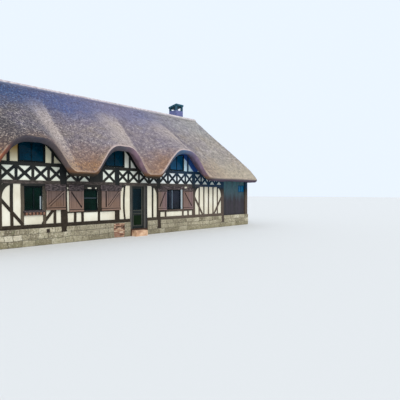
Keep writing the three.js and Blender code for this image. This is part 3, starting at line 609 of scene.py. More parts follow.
class Wall:
    """A wall face that sticks are laid on: run is along it, out is away from the house."""

    def __init__(self, origin, run, out, seed):
        self.origin = Vector(origin)
        self.run = Vector(run)
        self.out = Vector(out)
        self.rng = random.Random(seed)
        self.pieces = []

    def at(self, along, height, outwards):
        return self.origin + self.run * along + self.out * outwards + Vector((0, 0, height))

    def lay(self, path, width, deep, wave=0.006, proud=0.0, pale=None):
        """A stick along a path of (along, height) points, its face at the timber face plus proud."""
        piece = stick.copy()
        piece.data = stick.data.copy()
        bpy.context.collection.objects.link(piece)
        points = [Vector(spot) for spot in path]
        lengths = [(q - p).length for p, q in zip(points, points[1:])]
        total = sum(lengths)
        seed = self.rng.random() * 90
        unit_points = [vertex.co.copy() for vertex in piece.data.vertices]
        for vertex, co in zip(piece.data.vertices, unit_points):
            spot, heading = place_along(points, lengths, co.x)
            flat = Vector((co.x * total * 1.3 + seed, seed, 0))
            breadth = 1 + 6 * wave * noise.noise(flat + Vector((0, 7, co.y * 2)))
            sway = wave * noise.noise(flat)
            spot += Vector((-heading.y, heading.x)) * (co.y * width * breadth + sway)
            hewn = wave * 0.4 * noise.noise(flat + Vector((0, 0, 9))) if co.z > 0.5 else 0
            vertex.co = self.at(spot.x, spot.y, proud - deep * (1 - co.z) + hewn)
        lay_grain(piece, unit_points, total, width, seed)
        add_tint(piece, self.rng.uniform(0, 0.45) if pale is None else pale)
        self.pieces.append(piece)

    def post(self, along, bottom, top, lean=0.0):
        path = [(along + lean, bottom), (along + lean * 0.4, 1.3), (along - lean * 0.6, top)]
        self.lay(path, POST_W + 0.006 + lean, POST_DEEP, 0.008, 0.002)

    def beam(self, start, stop, levels, deep=POST_DEEP, proud=0.0, pale=None):
        middle = (levels[0] + levels[1]) / 2
        self.lay([(start, middle), (stop, middle)], levels[1] - levels[0] + 0.004, deep, 0.006, proud, pale)

    def stud(self, along, bottom=STUD_FOOT, top=STUD_HEAD, width=STUD_W, pale=None):
        self.lay([(along, bottom), (along, top)], width, STUD_DEEP, 0.012, -0.002, pale)

    def brace(self, path, width=STUD_W):
        self.lay(path, width, STUD_DEEP, 0.006, -0.004)

    def low_brace(self, post, way, reach=0.80):
        self.brace([(post + way * 0.06, BRACE_MEET - 0.03), (post + way * reach, BRACE_FOOT)])

    def high_brace(self, post, way):
        path = []
        for step in range(7):
            angle = math.pi / 2 * step / 6
            path.append((post + way * (0.07 + 0.43 * (1 - math.cos(angle))),
                         BRACE_MEET + 0.01 + (BRACE_HEAD - BRACE_MEET) * math.sin(angle)))
        self.brace(path)
        haunch = [(post + way * 0.06, 2.24), (post + way * 0.32, STUD_HEAD)]
        self.lay(haunch, 0.17, STUD_DEEP, 0.004, -0.006)

    def studded_bay(self, left, right, width=STUD_W):
        for k in range(1, 6):
            self.stud(left + (right - left) * (k + 0.15) / 6.3, width=width)
        for post, way in ((left, 1), (right, -1)):
            self.low_brace(post, way)
            self.high_brace(post, way)

    def cross(self, left, right):
        self.brace([(left, BAND_FOOT), (right, BAND_HEAD)], CROSS_W)
        self.lay([(left, BAND_HEAD), (right, BAND_FOOT)], CROSS_W, STUD_DEEP, 0.006, -0.002)

    def crossed_bay(self, left, right, panels=4):
        pitch = (right - left) / panels
        for k in range(panels):
            self.cross(left + k * pitch, left + (k + 1) * pitch)
            if k:
                self.stud(left + k * pitch, BAND_FOOT, BAND_HEAD, CROSS_W)

    def joined(self, name, replaced):
        whole = join_all(self.pieces, name)
        face_outwards(whole)
        smooth(whole, 40)
        set_piece(whole, timber_paint, replaced)


def timber_finish():
    """Near black up high, which is painted shade under the eave, and browner below, silvered on some sticks,
    blue in the shade at the right.

    A tint over 1.4 makes a purple-grey head board, and one over 2.4 a blue board of painted shade.
    """
    timber = Finish("stained_oak")
    uv = timber.add("ShaderNodeUVMap", {"uv_map": "grain"}, {})
    grain = timber.cloud(9, 7, timber.stretched((0.7, 16.0, 1.0), uv))
    blotch = timber.cloud(1.6, 5, timber.stretched((1.0, 3.0, 1.0), uv))
    checks = timber.step(timber.cloud(5, 4, timber.stretched((0.35, 26.0, 1.0), uv)), 0.60, 0.68)
    # The near-black tone up high is painted shade under the eave; the brown tone below is the oak's own
    # stain.
    darkened = timber.ramp(grain, [(0.32, (0.003, 0.005, 0.006)), (0.68, (0.018, 0.023, 0.024))])
    brown = timber.ramp(grain, [(0.32, (0.007, 0.005, 0.003)), (0.5, (0.024, 0.017, 0.011)),
                                (0.68, (0.066, 0.049, 0.031))])
    low = timber.step(timber.axis("Z") + timber.cloud(0.9, 3) * 0.9, 3.3, 1.9)
    # Painted shade up high, blending down into the brown oak below.
    eave_shaded = timber.mix(low, darkened, brown)
    silver = timber.step(timber.tint() + blotch * 0.9, 0.6, 1.4) * (0.25 + low * 0.45)
    silvered = timber.mix(silver, eave_shaded, (0.135, 0.110, 0.075))
    knots = timber.cloud(7, 4, timber.stretched((1.0, 1.0, 2.5)))
    purple = timber.ramp(grain * 0.5 + knots * 0.7 - 0.1,
                         [(0.38, (0.014, 0.011, 0.012)), (0.50, (0.048, 0.037, 0.037)),
                          (0.62, (0.150, 0.115, 0.115))])
    weathered = timber.mix(timber.step(timber.tint(), 1.4, 1.8), silvered, purple)
    bleached = timber.zone("X", 1.0, 3.0) * timber.zone("Z", 2.4, 1.9)
    browned = timber.mix(bleached * 0.6, weathered, (0.125, 0.092, 0.072))
    split = timber.mix(checks * 0.8, shade_blued(timber, grain, browned), (0.005, 0.004, 0.004))
    return timber.show(split, 0.8, grain - checks * 0.8, 0.6, 0.006)


def shade_blued(timber, grain, plain):
    """Navy where the far timbers stand in the shade, and a clear blue of painted shade on the blue board."""
    far = timber.zone("X", 0.8, 3.4) * timber.zone("Z", 2.5, 3.4)
    far = far + timber.zone("X", 3.9, 5.4) * timber.zone("Z", 2.3, 2.5)
    navy = timber.ramp(grain, [(0.32, (0.004, 0.022, 0.050)), (0.68, (0.014, 0.060, 0.120))])
    shaded = timber.mix(far * 0.85, plain, navy)
    blue = timber.ramp(grain, [(0.32, (0.010, 0.055, 0.200)), (0.68, (0.030, 0.110, 0.400))])
    return timber.mix(timber.step(timber.tint(), 2.4, 2.8), shaded, blue)


timber_paint = timber_finish()

# Each brow has its middle, half its width, its rise, and a power that makes its flanks steeper.
BROWS = [(-5.62, 1.78, 1.27, 1.55), (-1.43, 1.58, 1.25, 1.7), (2.72, 2.04, 1.42, 1.35)]
DORMERS = [-5.40, -1.40, 2.73]
DORMER_WINDOW_HALF = 0.53
DORMER_STUD = 0.895
DORMER_STUD_W = 0.11
DORMER_FOOT = 3.31
SHUTTER_HEADS = [(-4.86, -3.94, 2.20, 2.46), (-3.80, -3.08, 2.20, 2.46), (-2.20, -1.04, 2.20, 2.46),
                 (1.31, 1.96, 2.17, 2.33), (3.20, 4.03, 2.19, 2.36)]
EAVE_Y = 3.9
EAVE_X = 10.0
EAVE_Z = 2.98
BROW_FADE = 0.86
RIDGE_Z = 7.10
RIDGE_X = 7.72
THATCH = 0.35
SLOPE = (RIDGE_Z - EAVE_Z) / EAVE_Y
MAIN_THICK = THATCH * math.hypot(1, SLOPE)


def swell(x):
    """Share of the way up its brow that the lip is at x, and its height over the eave."""
    for centre, half, rise, power in BROWS:
        if abs(x - centre) < half:
            share = (1 + math.cos(math.pi * (abs(x - centre) / half) ** power)) / 2
            return share, rise * share
    return 0.0, 0.0


def front_outer(x, y):
    """Height of the front slope over plan point (x, -y)."""
    fade = max(0.0, 1 - (1 - y / EAVE_Y) / BROW_FADE)
    return RIDGE_Z - y * SLOPE + swell(x)[1] * fade


def front_under(x, y):
    """Height of the underside of the front slope over plan point (x, -y)."""
    here = THATCH * math.hypot(1, SLOPE - swell(x)[1] / (EAVE_Y * BROW_FADE))
    return front_outer(x, y) - MAIN_THICK - (here - MAIN_THICK) * min(1.0, y / FRAME_Y)


def lay_window_timbers(wall):
    """Heads, sills and jambs round the three front windows, with the small gaps of plaster over them."""
    wall.stud(-5.770, width=0.13, pale=0.9)
    wall.stud(-4.868, width=0.125, pale=0.7)
    wall.beam(-5.80, -4.84, (2.38, STUD_HEAD), STUD_DEEP, 0.001)
    wall.beam(-5.75, -4.86, (1.342, 1.41), STUD_DEEP + 0.03, 0.03, HEAD_BOARD)
    wall.beam(POSTS[2], POSTS[3], (1.255, 1.31), STUD_DEEP, 0.001)
    wall.beam(POSTS[2], POSTS[3], (2.35, STUD_HEAD), STUD_DEEP, 0.001)
    for along, width in ((-2.97, 0.20), (-2.57, 0.17), (-2.28, 0.20)):
        wall.lay([(along, 2.27), (along, 2.36)], width, STUD_DEEP, 0.004)
    wall.stud(-2.24, 1.25, 2.36, 0.20, DARK_STICK)
    wall.beam(POSTS[4], POSTS[5], (1.11, 1.21), STUD_DEEP, 0.001)
    for start, stop in ((POSTS[4], 3.36), (3.58, POSTS[5])):
        wall.beam(start, stop, (2.29, STUD_HEAD), STUD_DEEP, 0.001, HEAD_BOARD)


def lay_shutter_heads(wall):
    """Boards that the folded shutters tuck up under, standing proud of the rail."""
    for start, stop, low, high in SHUTTER_HEADS:
        wall.beam(start, stop, (low, high), STUD_DEEP + 0.042, 0.042, HEAD_BOARD)
    wall.beam(-3.96, -3.78, (2.20, 2.26), STUD_DEEP, 0.01)


def drawn_in(path, reach, way):
    """The path moved by reach off the thatch, towards the middle of the dormer."""
    moved = []
    for k, (along, height) in enumerate(path):
        before, after = path[max(0, k - 1)], path[min(len(path) - 1, k + 1)]
        heading = Vector((after[0] - before[0], after[1] - before[1])).normalized()
        moved.append((along + way * heading.y * reach, height - abs(heading.x) * reach))
    return moved


def lip_path(centre, half, way, foot):
    """Points under the lip of a brow, from beside its crown down to a height over the wall plate."""
    path = []
    for k in range(40):
        x = centre + way * half * (0.16 + 0.02 * k)
        path.append((x, front_under(x, FRAME_Y)))
        if path[-1][1] < foot:
            break
    return path[:-1:3] + [path[-1]]


def lay_dormer_timbers(wall):
    """Studs beside the dormer windows, and a sawn board that follows the thatch down to the plate; right of
    the third dormer it is wide and blue, a board of painted shade under the thatch.
    """
    # The third dormer's right board is wide and blue: painted shade under the thatch.
    boards = ((0.09, 0.10, 0), (0.09, 0.12, 0), (0.09, 0.30, BLUE_SHADE_BOARD))
    for (centre, half, *_), middle, (left_width, right_width, tint) in zip(BROWS, DORMERS, boards):
        for way, width in ((-1, left_width), (1, right_width)):
            x = middle + way * DORMER_STUD
            top = min(front_under(x + side * DORMER_STUD_W / 2, FRAME_Y) for side in (-1, 1))
            wall.stud(x, DORMER_FOOT, top, DORMER_STUD_W)
            foot = PLATE[1] + width * 0.5 - 0.04
            path = drawn_in(lip_path(centre, half, way, foot), width / 2, way)
            wall.lay(path, width, STUD_DEEP, 0.004, -0.004, tint if way > 0 else 0)
    for middle in DORMERS[1:]:
        left = middle - DORMER_STUD
        right = middle - DORMER_WINDOW_HALF
        x = (left + right) / 2
        top = front_under(left + 0.05, FRAME_Y) - 0.05
        wall.lay([(x, DORMER_FOOT), (x, top)], right - left, STUD_DEEP, 0.004, -0.004, 0)


def lay_ground_storey(wall):
    """Studs and braces between the posts, from the sill up to the rail."""
    wall.studded_bay(POSTS[0], POSTS[1])
    for along in (-6.18, -4.42, -3.12, 1.90, 3.22):
        wall.stud(along)
    wall.stud(0.975, width=0.095)
    bowed = [(-0.81, STUD_FOOT), (-0.87, 1.35), (-0.87, 1.85), (-0.82, STUD_HEAD)]
    wall.lay(bowed, 0.09, STUD_DEEP, 0.004, -0.002)
    wall.high_brace(POSTS[3], 1)
    for along, top in ((-3.49, 1.28), (-2.28, 1.28), (3.65, 1.16)):
        wall.stud(along, STUD_FOOT, top)
    wall.low_brace(POSTS[1], 1, 0.93)
    wall.high_brace(POSTS[1], 1)
    wall.low_brace(POSTS[2], -1, 0.93)
    wall.high_brace(POSTS[4], -1)
    wall.studded_bay(POSTS[5], POSTS[6], 0.085)


def lay_band(wall):
    """Crosses from the rail up to the plate, with two plain boards left of the second dormer."""
    for bay in (0, 1, 3, 4, 5):
        wall.crossed_bay(POSTS[bay], POSTS[bay + 1])
    wall.crossed_bay(POSTS[2], -2.69, 2)
    wall.cross(-2.06, -1.37)
    for along, width, wave in ((-2.495, 0.51, 0.004), (-2.145, 0.17, 0.006)):
        wall.lay([(along, BAND_FOOT), (along, INTO_PLATE)], width, STUD_DEEP, wave)


def build_front_timbers():
    wall = Wall((0, -FRAME_Y, 0), (1, 0, 0), (0, -1, 0), -28)
    lay_ground_storey(wall)
    lay_window_timbers(wall)
    lay_band(wall)
    lay_dormer_timbers(wall)
    wall.beam(-FRAME_X, DOOR_GAP[0], SILL)
    wall.beam(DOOR_GAP[1], BAND_END, SILL)
    wall.beam(-FRAME_X, BAND_END, RAIL, pale=RAIL_TINT)
    wall.beam(-FRAME_X, BAND_END, PLATE)
    for number, along in enumerate(POSTS):
        lean = POST_LEAN if number == LEANING_POST else 0.0
        wall.post(along, FEET.get(along, PLINTH_TOP), PLATE[1], lean)
    lay_shutter_heads(wall)
    wall.joined("front_timbers", ["front_frame_left", "front_frame_right", "front_band_frame",
                                  "right_corner_post"])


BACK_WINDOWS = [(-5.855, -4.855, 1.31, 2.29), (-0.485, 0.515, 1.31, 2.29), (4.925, 5.925, 1.31, 2.29)]
BACK_WINDOW_BAR = 0.10


def build_back_timbers():
    wall = Wall((0, FRAME_Y, 0), (1, 0, 0), (0, 1, 0), 34)
    for bay in range(7):
        left, right = POSTS[bay], POSTS[bay + 1]
        pitch = (right - left) / 4
        if bay % 2 == 0:
            for k in (1, 2, 3):
                wall.stud(left + k * pitch)
            wall.low_brace(left, 1)
            wall.low_brace(right, -1)
        for k in (1, 2, 3):
            wall.stud(left + k * pitch, BAND_FOOT, BAND_HEAD)
    for left, right, low, high in BACK_WINDOWS:
        wall.stud(left - 0.05)
        wall.stud(right + 0.05)
        for levels in ((low - BACK_WINDOW_BAR, low), (high, high + BACK_WINDOW_BAR)):
            wall.beam(left - 0.06, right + 0.06, levels, STUD_DEEP, 0.001)
    for levels in (SILL, RAIL, PLATE):
        wall.beam(-FRAME_X, FRAME_X, levels)
    for along in POSTS:
        wall.post(along, PLINTH_TOP, PLATE[1])
    wall.joined("back_timbers", ["back_frame"])


def build_left_end_timbers():
    wall = Wall((-FRAME_X, 0, 0), (0, 1, 0), (-1, 0, 0), -92)
    for along in (-2.44, -1.96, -1.48, -0.5, 0.0, 0.5, 1.48, 1.96, 2.44):
        wall.stud(along, STUD_FOOT, INTO_PLATE)
    for along in (-1.0, 1.0):
        wall.lay([(along, STUD_FOOT), (along, INTO_PLATE)], 0.20, STUD_DEEP, 0.008)
    for levels in (SILL, RAIL, PLATE):
        wall.beam(-2.98, 2.98, levels, STUD_DEEP)
    wall.joined("left_end_timbers", ["left_end_frame"])


build_front_timbers()
build_back_timbers()
build_left_end_timbers()
remove(stick)

# Infill: clay and lime plaster between the timbers, limewashed cream, slightly uneven,
# streaked by rain and splashed at the foot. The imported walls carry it.


def plaster_finish():
    """Cream below, whiter and cooler under the eave as painted light and greener there at the right as
    painted shade, yellow in the gable of the first dormer with painted shade in brown at its top left, and
    blue in the third as painted shade.
    """
    plaster = Finish("limewash")
    broad = plaster.cloud(1.1, 3)
    fine = plaster.cloud(9, 6)
    base = plaster.ramp(broad, [(0.3, (0.60, 0.55, 0.42)), (0.5, (0.71, 0.665, 0.53)),
                                (0.7, (0.78, 0.75, 0.63))])
    runs = plaster.cloud(3, 4, plaster.stretched((5.0, 5.0, 0.5)))
    streaked = plaster.mix(plaster.step(runs, 0.55, 0.75) * 0.3, base, (0.55, 0.48, 0.36))
    low = plaster.step(plaster.axis("Z") + fine * 0.25, 1.15, 0.85)
    splashed = plaster.mix(low * 0.3, streaked, (0.48, 0.43, 0.33))
    loft = plaster.zone("Z", 3.28, 3.32)
    gables = loft * plaster.zone("X", -2.6, -4.4)
    creamed = plaster.mix(gables * 0.7, splashed, (0.90, 0.85, 0.60))
    # Brown at the top left of the first dormer's gable is painted shade under the thatch.
    thatch_shade = gables * plaster.zone("X", -5.8, -5.9) * plaster.zone("Z", 3.25, 3.85)
    thatch_shaded = plaster.mix(thatch_shade * 0.95, creamed, (0.36, 0.22, 0.05))
    # Under the eave the plaster is painted whiter and cooler: painted light that lifts the eave's shade.
    under_eave = plaster.zone("Z", 2.5, 2.7)
    cool = plaster.mix(plaster.zone("X", -1.0, 2.5), (0.82, 0.86, 0.74), (0.74, 0.79, 0.82))
    eave_lightened = plaster.mix(under_eave * (1 - gables) * 0.9, thatch_shaded, cool)
    # Further right under the eave it is painted darker and greener: painted shade.
    lichen_and_shade_green = plaster.mix(under_eave * plaster.zone("X", 2.0, 6.0) * 0.5, eave_lightened, (0.45, 0.58, 0.50))
    # The blue in the gable of the third dormer is painted shade under the thatch.
    shade_blued = plaster.mix(loft * plaster.zone("X", 1.8, 2.4) * 0.5, lichen_and_shade_green, (0.40, 0.72, 0.88))
    return plaster.show(shade_blued, 0.88, broad * 2 + fine * 0.5, 0.5, 0.012)


dress(["front_wall_left", "front_wall_right", "front_wall_over_door", "back_wall", "left_end_wall"],
      plaster_finish())

# Boarded bay and right end: upright oak boards under a dark stain, set back from the posts.
# They differ a little in tone, and high up under the eave they turn teal, which is painted shade.
BOARD_W = 0.16
BOARD_THICK = 0.02
BOARD_GAP = 0.003
BOARD_LEVELS = (0.705, 3.31)
BAY_FACE = -FRAME_Y + 0.12
END_FACE = FRAME_X - 0.0303
END_HALF = 2.975


def board_finish():
    board = Finish("dark_boards")
    grain = board.cloud(7, 6, board.stretched((9.0, 9.0, 0.6)))
    tone = board.cloud(2.2, 2, board.stretched((3.0, 3.0, 0.1)))
    brown = board.ramp(grain, [(0.3, (0.014, 0.014, 0.016)), (0.7, (0.055, 0.050, 0.054))])
    # The teal up high is painted shade under the eave; the brown is the boards' own stain.
    shade_teal = board.ramp(grain, [(0.3, (0.024, 0.092, 0.115)), (0.7, (0.105, 0.235, 0.260))])
    high = board.step(board.axis("Z") + tone * 1.2 - 0.3, 1.95, 2.90)
    base = board.mix(high, brown, shade_teal)
    varied = board.mix(board.step(tone, 0.4, 0.7) * 0.5, base, (0.055, 0.045, 0.065))
    return board.show(varied, 0.75, grain, 0.5, 0.004)


board_paint = board_finish()
BAY_WINDOW = (8.60, 9.24, 2.17, 2.59)


def build_boards():
    """The boards of the bay, cut out at its window, and then those of the end wall."""
    template = block_template(0.04)
    rng = random.Random(11)
    pieces = []
    left, right = BAND_END + 0.005, POSTS[7] - POST_W / 2 - 0.002
    count = round((right - left) / BOARD_W)
    width = (right - left) / count
    foot, head = BOARD_LEVELS
    for k in range(count):
        start = left + k * width + BOARD_GAP
        stop = start + width - 2 * BOARD_GAP
        out = BAY_FACE - BOARD_THICK - rng.uniform(0, 0.004)
        spans = [(foot, head)]
        if stop > BAY_WINDOW[0] - 0.05 and start < BAY_WINDOW[1] + 0.05:
            spans = [(foot, BAY_WINDOW[2] - 0.05), (BAY_WINDOW[3] + 0.05, head)]
        for low, high in spans:
            pieces.append(copy_to(template, (start, out, low), (stop, BAY_FACE + 0.003, high)))
    count = round(2 * END_HALF / BOARD_W)
    width = 2 * END_HALF / count
    for k in range(count):
        start = -END_HALF + k * width + BOARD_GAP
        out = END_FACE + BOARD_THICK + rng.uniform(0, 0.006)
        stop = start + width - 2 * BOARD_GAP
        pieces.append(copy_to(template, (END_FACE - 0.003, start, foot), (out, stop, head)))
    assemble(pieces, template, "upright_boards", board_paint)


build_boards()
dress(["front_boarded_bay", "right_end_wall"], board_paint)

# Windows: painted oak sashes with thin bars and one pane of old glass in each opening, the first one
# over a sill of bricks on edge. The dormer sashes follow the underside of the thatch at their heads.
SASH_BAR = 0.05
SASH_FACE = 0.05
SASH_DEEP = 0.07
PANE_IN = 0.035
PANE_EDGE = 0.03
PANE_HALF = 0.003


def sash_finish(name, dark, light):
    return grained(name, 14, 5, [(0.3, dark), (0.7, light)], 0.7, (0.2, 0.002), 0.06)


def glass_finish(name, deep, shallow, gloss=0.14):
    """Old glass before a dark room, with a soft change of tint over each pane."""
    glass = Finish(name)
    tint = glass.ramp(glass.cloud(1.3, 2), [(0.35, deep), (0.65, shallow)])
    glass.show(tint, 0.07, glass.cloud(3.0, 2), 0.15, 0.02, gloss)
    glass.shader.inputs["Alpha"].default_value = 0.93
    return glass.material


def bar_finish():
    """Grey paint on the front windows' bars, from near black to pale by the tone of each bar."""
    bar = Finish("grey_sash")
    grain = bar.cloud(14, 5)
    tones = [(0.0, (0.022, 0.036, 0.041)), (0.45, (0.10, 0.13, 0.165)), (1.0, (0.37, 0.42, 0.43))]
    return bar.show(bar.ramp(bar.tint() + grain * 0.16 - 0.08, tones), 0.6, grain, 0.2, 0.002)


sash_paint = sash_finish("dark_sash", (0.002, 0.006, 0.007), (0.009, 0.014, 0.016))
blue_sash_paint = sash_finish("blue_sash", (0.0, 0.060, 0.150), (0.006, 0.110, 0.230))
grey_sash_paint = bar_finish()
green_glass = glass_finish("green_glass", (0.001, 0.006, 0.004), (0.002, 0.014, 0.010), 0.05)
door_pane = glass_finish("door_pane", (0.001, 0.006, 0.009), (0.003, 0.014, 0.020), 0.06)
grey_glass = glass_finish("grey_glass", (0.006, 0.009, 0.014), (0.016, 0.020, 0.034))
navy_glass = glass_finish("navy_glass", (0.0, 0.018, 0.036), (0.0, 0.034, 0.064), 0.06)
deep_blue_glass = glass_finish("deep_blue_glass", (0.001, 0.042, 0.095), (0.001, 0.070, 0.160))
blue_glass = glass_finish("blue_glass", (0.0, 0.10, 0.24), (0.01, 0.20, 0.38))


def sash_bars(template, opening, mullions, rails, face, inwards):
    """Frame and bars of a window: face is where its front lies, inwards is +1 or -1 along Y."""
    left, right, low, high = opening
    y = sorted((face, face + inwards * SASH_DEEP))
    bars = [(left, left + SASH_BAR, low, high), (right - SASH_BAR, right, low, high),
            (left, right, low, low + SASH_BAR), (left, right, high - SASH_BAR, high)]
    for part in mullions:
        x = left + (right - left) * part
        bars.append((x - 0.02, x + 0.02, low, high))
    for part in rails:
        z = low + (high - low) * part
        bars.append((left, right, z - 0.012, z + 0.012))
    return [copy_to(template, (a, y[0] + 0.004 * (k > 3), c), (b, y[1] - 0.004 * (k > 3), d))
            for k, (a, b, c, d) in enumerate(bars)]


def build_window(name, opening, mullions, rails, face, inwards, paint, glass):
    template = block_template(0.05)
    bars = sash_bars(template, opening, mullions, rails, face, inwards)
    assemble(bars, template, name + "_sash", paint, [name])
    left, right, low, high = opening
    y = face + inwards * PANE_IN
    template = block_template(0.01)
    pane = copy_to(template, (left + PANE_EDGE, y - PANE_HALF, low + PANE_EDGE),
                   (right - PANE_EDGE, y + PANE_HALF, high - PANE_EDGE))
    assemble([pane], template, name + "_pane", glass)


FRONT_SASHES = -FRAME_Y + SASH_FACE
BACK_SASHES = FRAME_Y - SASH_FACE
build_window("window_1", (-5.71, -4.93, 1.40, 2.38), [0.52], [], FRONT_SASHES, 1, sash_paint, green_glass)
build_window("window_2", (-3.07, -2.33, 1.31, 2.29), [], [], FRONT_SASHES, 1, sash_paint, green_glass)
build_window("window_3", (1.95, 3.17, 1.21, 2.29), [0.20], [], FRONT_SASHES, 1, sash_paint, grey_glass)
build_window("boarded_bay_window", BAY_WINDOW, [0.5], [], -FRAME_Y + 0.10, 1, blue_sash_paint, blue_glass)
for number, window in enumerate(BACK_WINDOWS, 1):
    build_window(f"back_window_{number}", window, [0.5], [0.5], BACK_SASHES, -1, sash_paint, navy_glass)

# Each bar has its left, right, foot and head, how far in it stands, and its tone.
PALE_BARS = [
    # The first bar, a pale upright on the first window, is a painted reflection.
    (-5.035, -4.98, 1.45, 1.97, 0.035, 0.85), (-3.02, -2.36, 1.855, 1.895, 0.02, 0.1),
    (2.395, 2.445, 1.24, 2.26, 0.0, 0.45), (3.055, 3.165, 1.215, 2.285, -0.045, 0.95),
]
SILL_BRICKS = 12
SILL_SPAN = (-5.72, -4.86)
SILL_LEVELS = (1.216, 1.335)
SILL_TONE = 0.27


def build_pale_bars():
    """The grey-painted bars of the front windows, each in its own tone, and on the first one a pale upright
    that is a painted reflection.
    """
    template = block_template(0.05)
    pieces = [copy_to(template, (left, FRONT_SASHES + y - 0.008, low), (right, FRONT_SASHES + y + 0.03, high),
                      tone=tone)
              for left, right, low, high, y, tone in PALE_BARS]
    assemble(pieces, template, "pale_window_bars", grey_sash_paint)


def build_brick_sill():
    """Bricks on edge under the first window, every other one paler."""
    template = block_template(0.06, 1)
    left, right = SILL_SPAN
    foot, head = SILL_LEVELS
    pitch = (right - left) / SILL_BRICKS
    pieces = []
    for k in range(SILL_BRICKS):
        start = left + k * pitch
        pieces.append(copy_to(template, (start + 0.003, -FRAME_Y - 0.028, foot + 0.004 * (k % 3)),
                              (left + (k + 1) * pitch - 0.003, -FRAME_Y + 0.06, head), 0.003,
                              tone=SILL_TONE * (k % 2)))
    assemble(pieces, template, "window_brick_sill", brick_paint)


ARCH_FOOT = 3.32
ARCH_TOP = 4.20
ARCH_BAR = 0.05


def arched_window(name, middle, glass):
    """A dormer sash flush with the wall, its head and pane drawn up to follow the thatch."""
    left, right, low = middle - DORMER_WINDOW_HALF, middle + DORMER_WINDOW_HALF, ARCH_FOOT
    inner = -FRAME_Y + 0.06

    def top(x):
        return min(ARCH_TOP, front_under(x, FRAME_Y) - 0.05)

    template = block_template(0.04, 6)
    spans = [(left, left + ARCH_BAR), (right - ARCH_BAR, right + 0.045), (middle - 0.011, middle + 0.011)]
    bars = [copy_to(template, (a, -FRAME_Y - 0.002, low), (b, inner, low + 1)) for a, b in spans]
    for bar in bars:
        for vertex in bar.data.vertices:
            vertex.co.z = low + (vertex.co.z - low) * (top(vertex.co.x) - low)
    head = copy_to(template, (left, -FRAME_Y - 0.004, 0), (right, inner, ARCH_BAR))
    for vertex in head.data.vertices:
        vertex.co.z += top(vertex.co.x) - ARCH_BAR
    foot = copy_to(template, (left, -FRAME_Y - 0.006, low), (right, inner, low + ARCH_BAR))
    pane = copy_to(template, (left + 0.02, -FRAME_Y + 0.022, low + 0.02),
                   (right - 0.02, -FRAME_Y + 0.028, low + 1))
    for vertex in pane.data.vertices:
        share = (vertex.co.z - low - 0.02) / 0.98
        vertex.co.z = low + 0.02 + share * (top(vertex.co.x) - low - 0.04)
    pane.name = name + "_pane"
    assemble([*bars, head, foot], template, name + "_sash", sash_paint, [name])
    set_piece(pane, glass)


build_pale_bars()
build_brick_sill()
for number, (middle, glass) in enumerate(zip(DORMERS, (navy_glass, navy_glass, deep_blue_glass)), 1):
    arched_window(f"dormer_window_{number}", middle, glass)

# Shutters: ledged and braced oak boards, folded back flat on the wall and worn unevenly.
# Each has its left and right edge, its foot, and the way that its brace climbs.
SHUTTERS = [
    ("shutter_1", -4.80, -3.96, 1.40, 1), ("shutter_2", -3.78, -3.09, 1.30, -1),
    ("shutter_3", -2.15, -1.09, 1.30, 1), ("shutter_4", 1.34, 1.93, 1.20, 1),
    ("shutter_5", 3.23, 4.00, 1.20, -1),
]


def shutter_finish():
    shutter = Finish("worn_shutter_stain")
    grain = shutter.cloud(8, 6, shutter.stretched((12.0, 12.0, 0.8)))
    tone = shutter.cloud(1.4, 3)
    stain = shutter.ramp(grain, [(0.3, (0.045, 0.022, 0.016)), (0.7, (0.170, 0.098, 0.072))])
    planks = shutter.cloud(3.0, 2, shutter.stretched((2.2, 1.0, 0.3)))
    base = shutter.mix(shutter.step(planks, 0.55, 0.40) * 0.6, stain, (0.050, 0.026, 0.022))
    faded = shutter.mix(shutter.step(tone, 0.4, 0.65) * 0.55, base, (0.18, 0.115, 0.098))
    pale = shutter.mix(shutter.step(shutter.tint(), 0.5, 1.0) * 0.6, faded, (0.25, 0.165, 0.135))
    left_parts = shutter.zone("X", 1.2, 1.3) * shutter.zone("X", 1.74, 1.52)
    right_parts = shutter.zone("X", 1.52, 1.74) * shutter.zone("X", 2.1, 2.0) + shutter.zone("X", 3.60, 3.80)
    olive = shutter.mix(left_parts * 0.4, pale, (0.160, 0.130, 0.085))
    mauve = shutter.mix(right_parts * 0.4, olive, (0.210, 0.140, 0.175))
    worn = shutter.mix(shutter.zone("X", -3.9, -3.8) * 0.3, mauve, (0.270, 0.180, 0.155))
    left_three = shutter.zone("X", 1.0, 0.6)
    # The upper part of the first three shutters is darker: painted shadow of the eave.
    eave_shadowed = shutter.mix(shutter.zone("Z", 1.70, 1.95) * left_three * 0.35, worn, (0.060, 0.055, 0.052))
    warmed = shutter.mix(shutter.zone("Z", 1.95, 1.65) * left_three * 0.3, eave_shadowed, (0.215, 0.130, 0.070))
    # Pieces in the DARK tone are near black: painted shade in the gaps and along the edges.
    dark = shutter.mix(shutter.step(shutter.tint(), 0.5, 0.0), warmed, (0.014, 0.008, 0.007))
    return shutter.show(dark, 0.75, grain, 0.5, 0.004)


shutter_paint = shutter_finish()
LEAF_HEAD = 2.23
PLANKS = 4
STILE = 0.07
SUNK_EDGE = 0.018
NARROW_LEAF = 0.78
BRACE_IN = 0.09
SHUTTER_FACE = -FRAME_Y - 0.0003
# DARK pieces are painted shade: the backing seen in the gaps, the lines beside stiles, ledges and head, and
# the outline of the brace.
DARK, PLAIN, LEDGE_TONE, PALE, STILE_TONE, BRACE_TONE = 0.0, 0.5, 0.7, 0.75, 0.85, 0.9


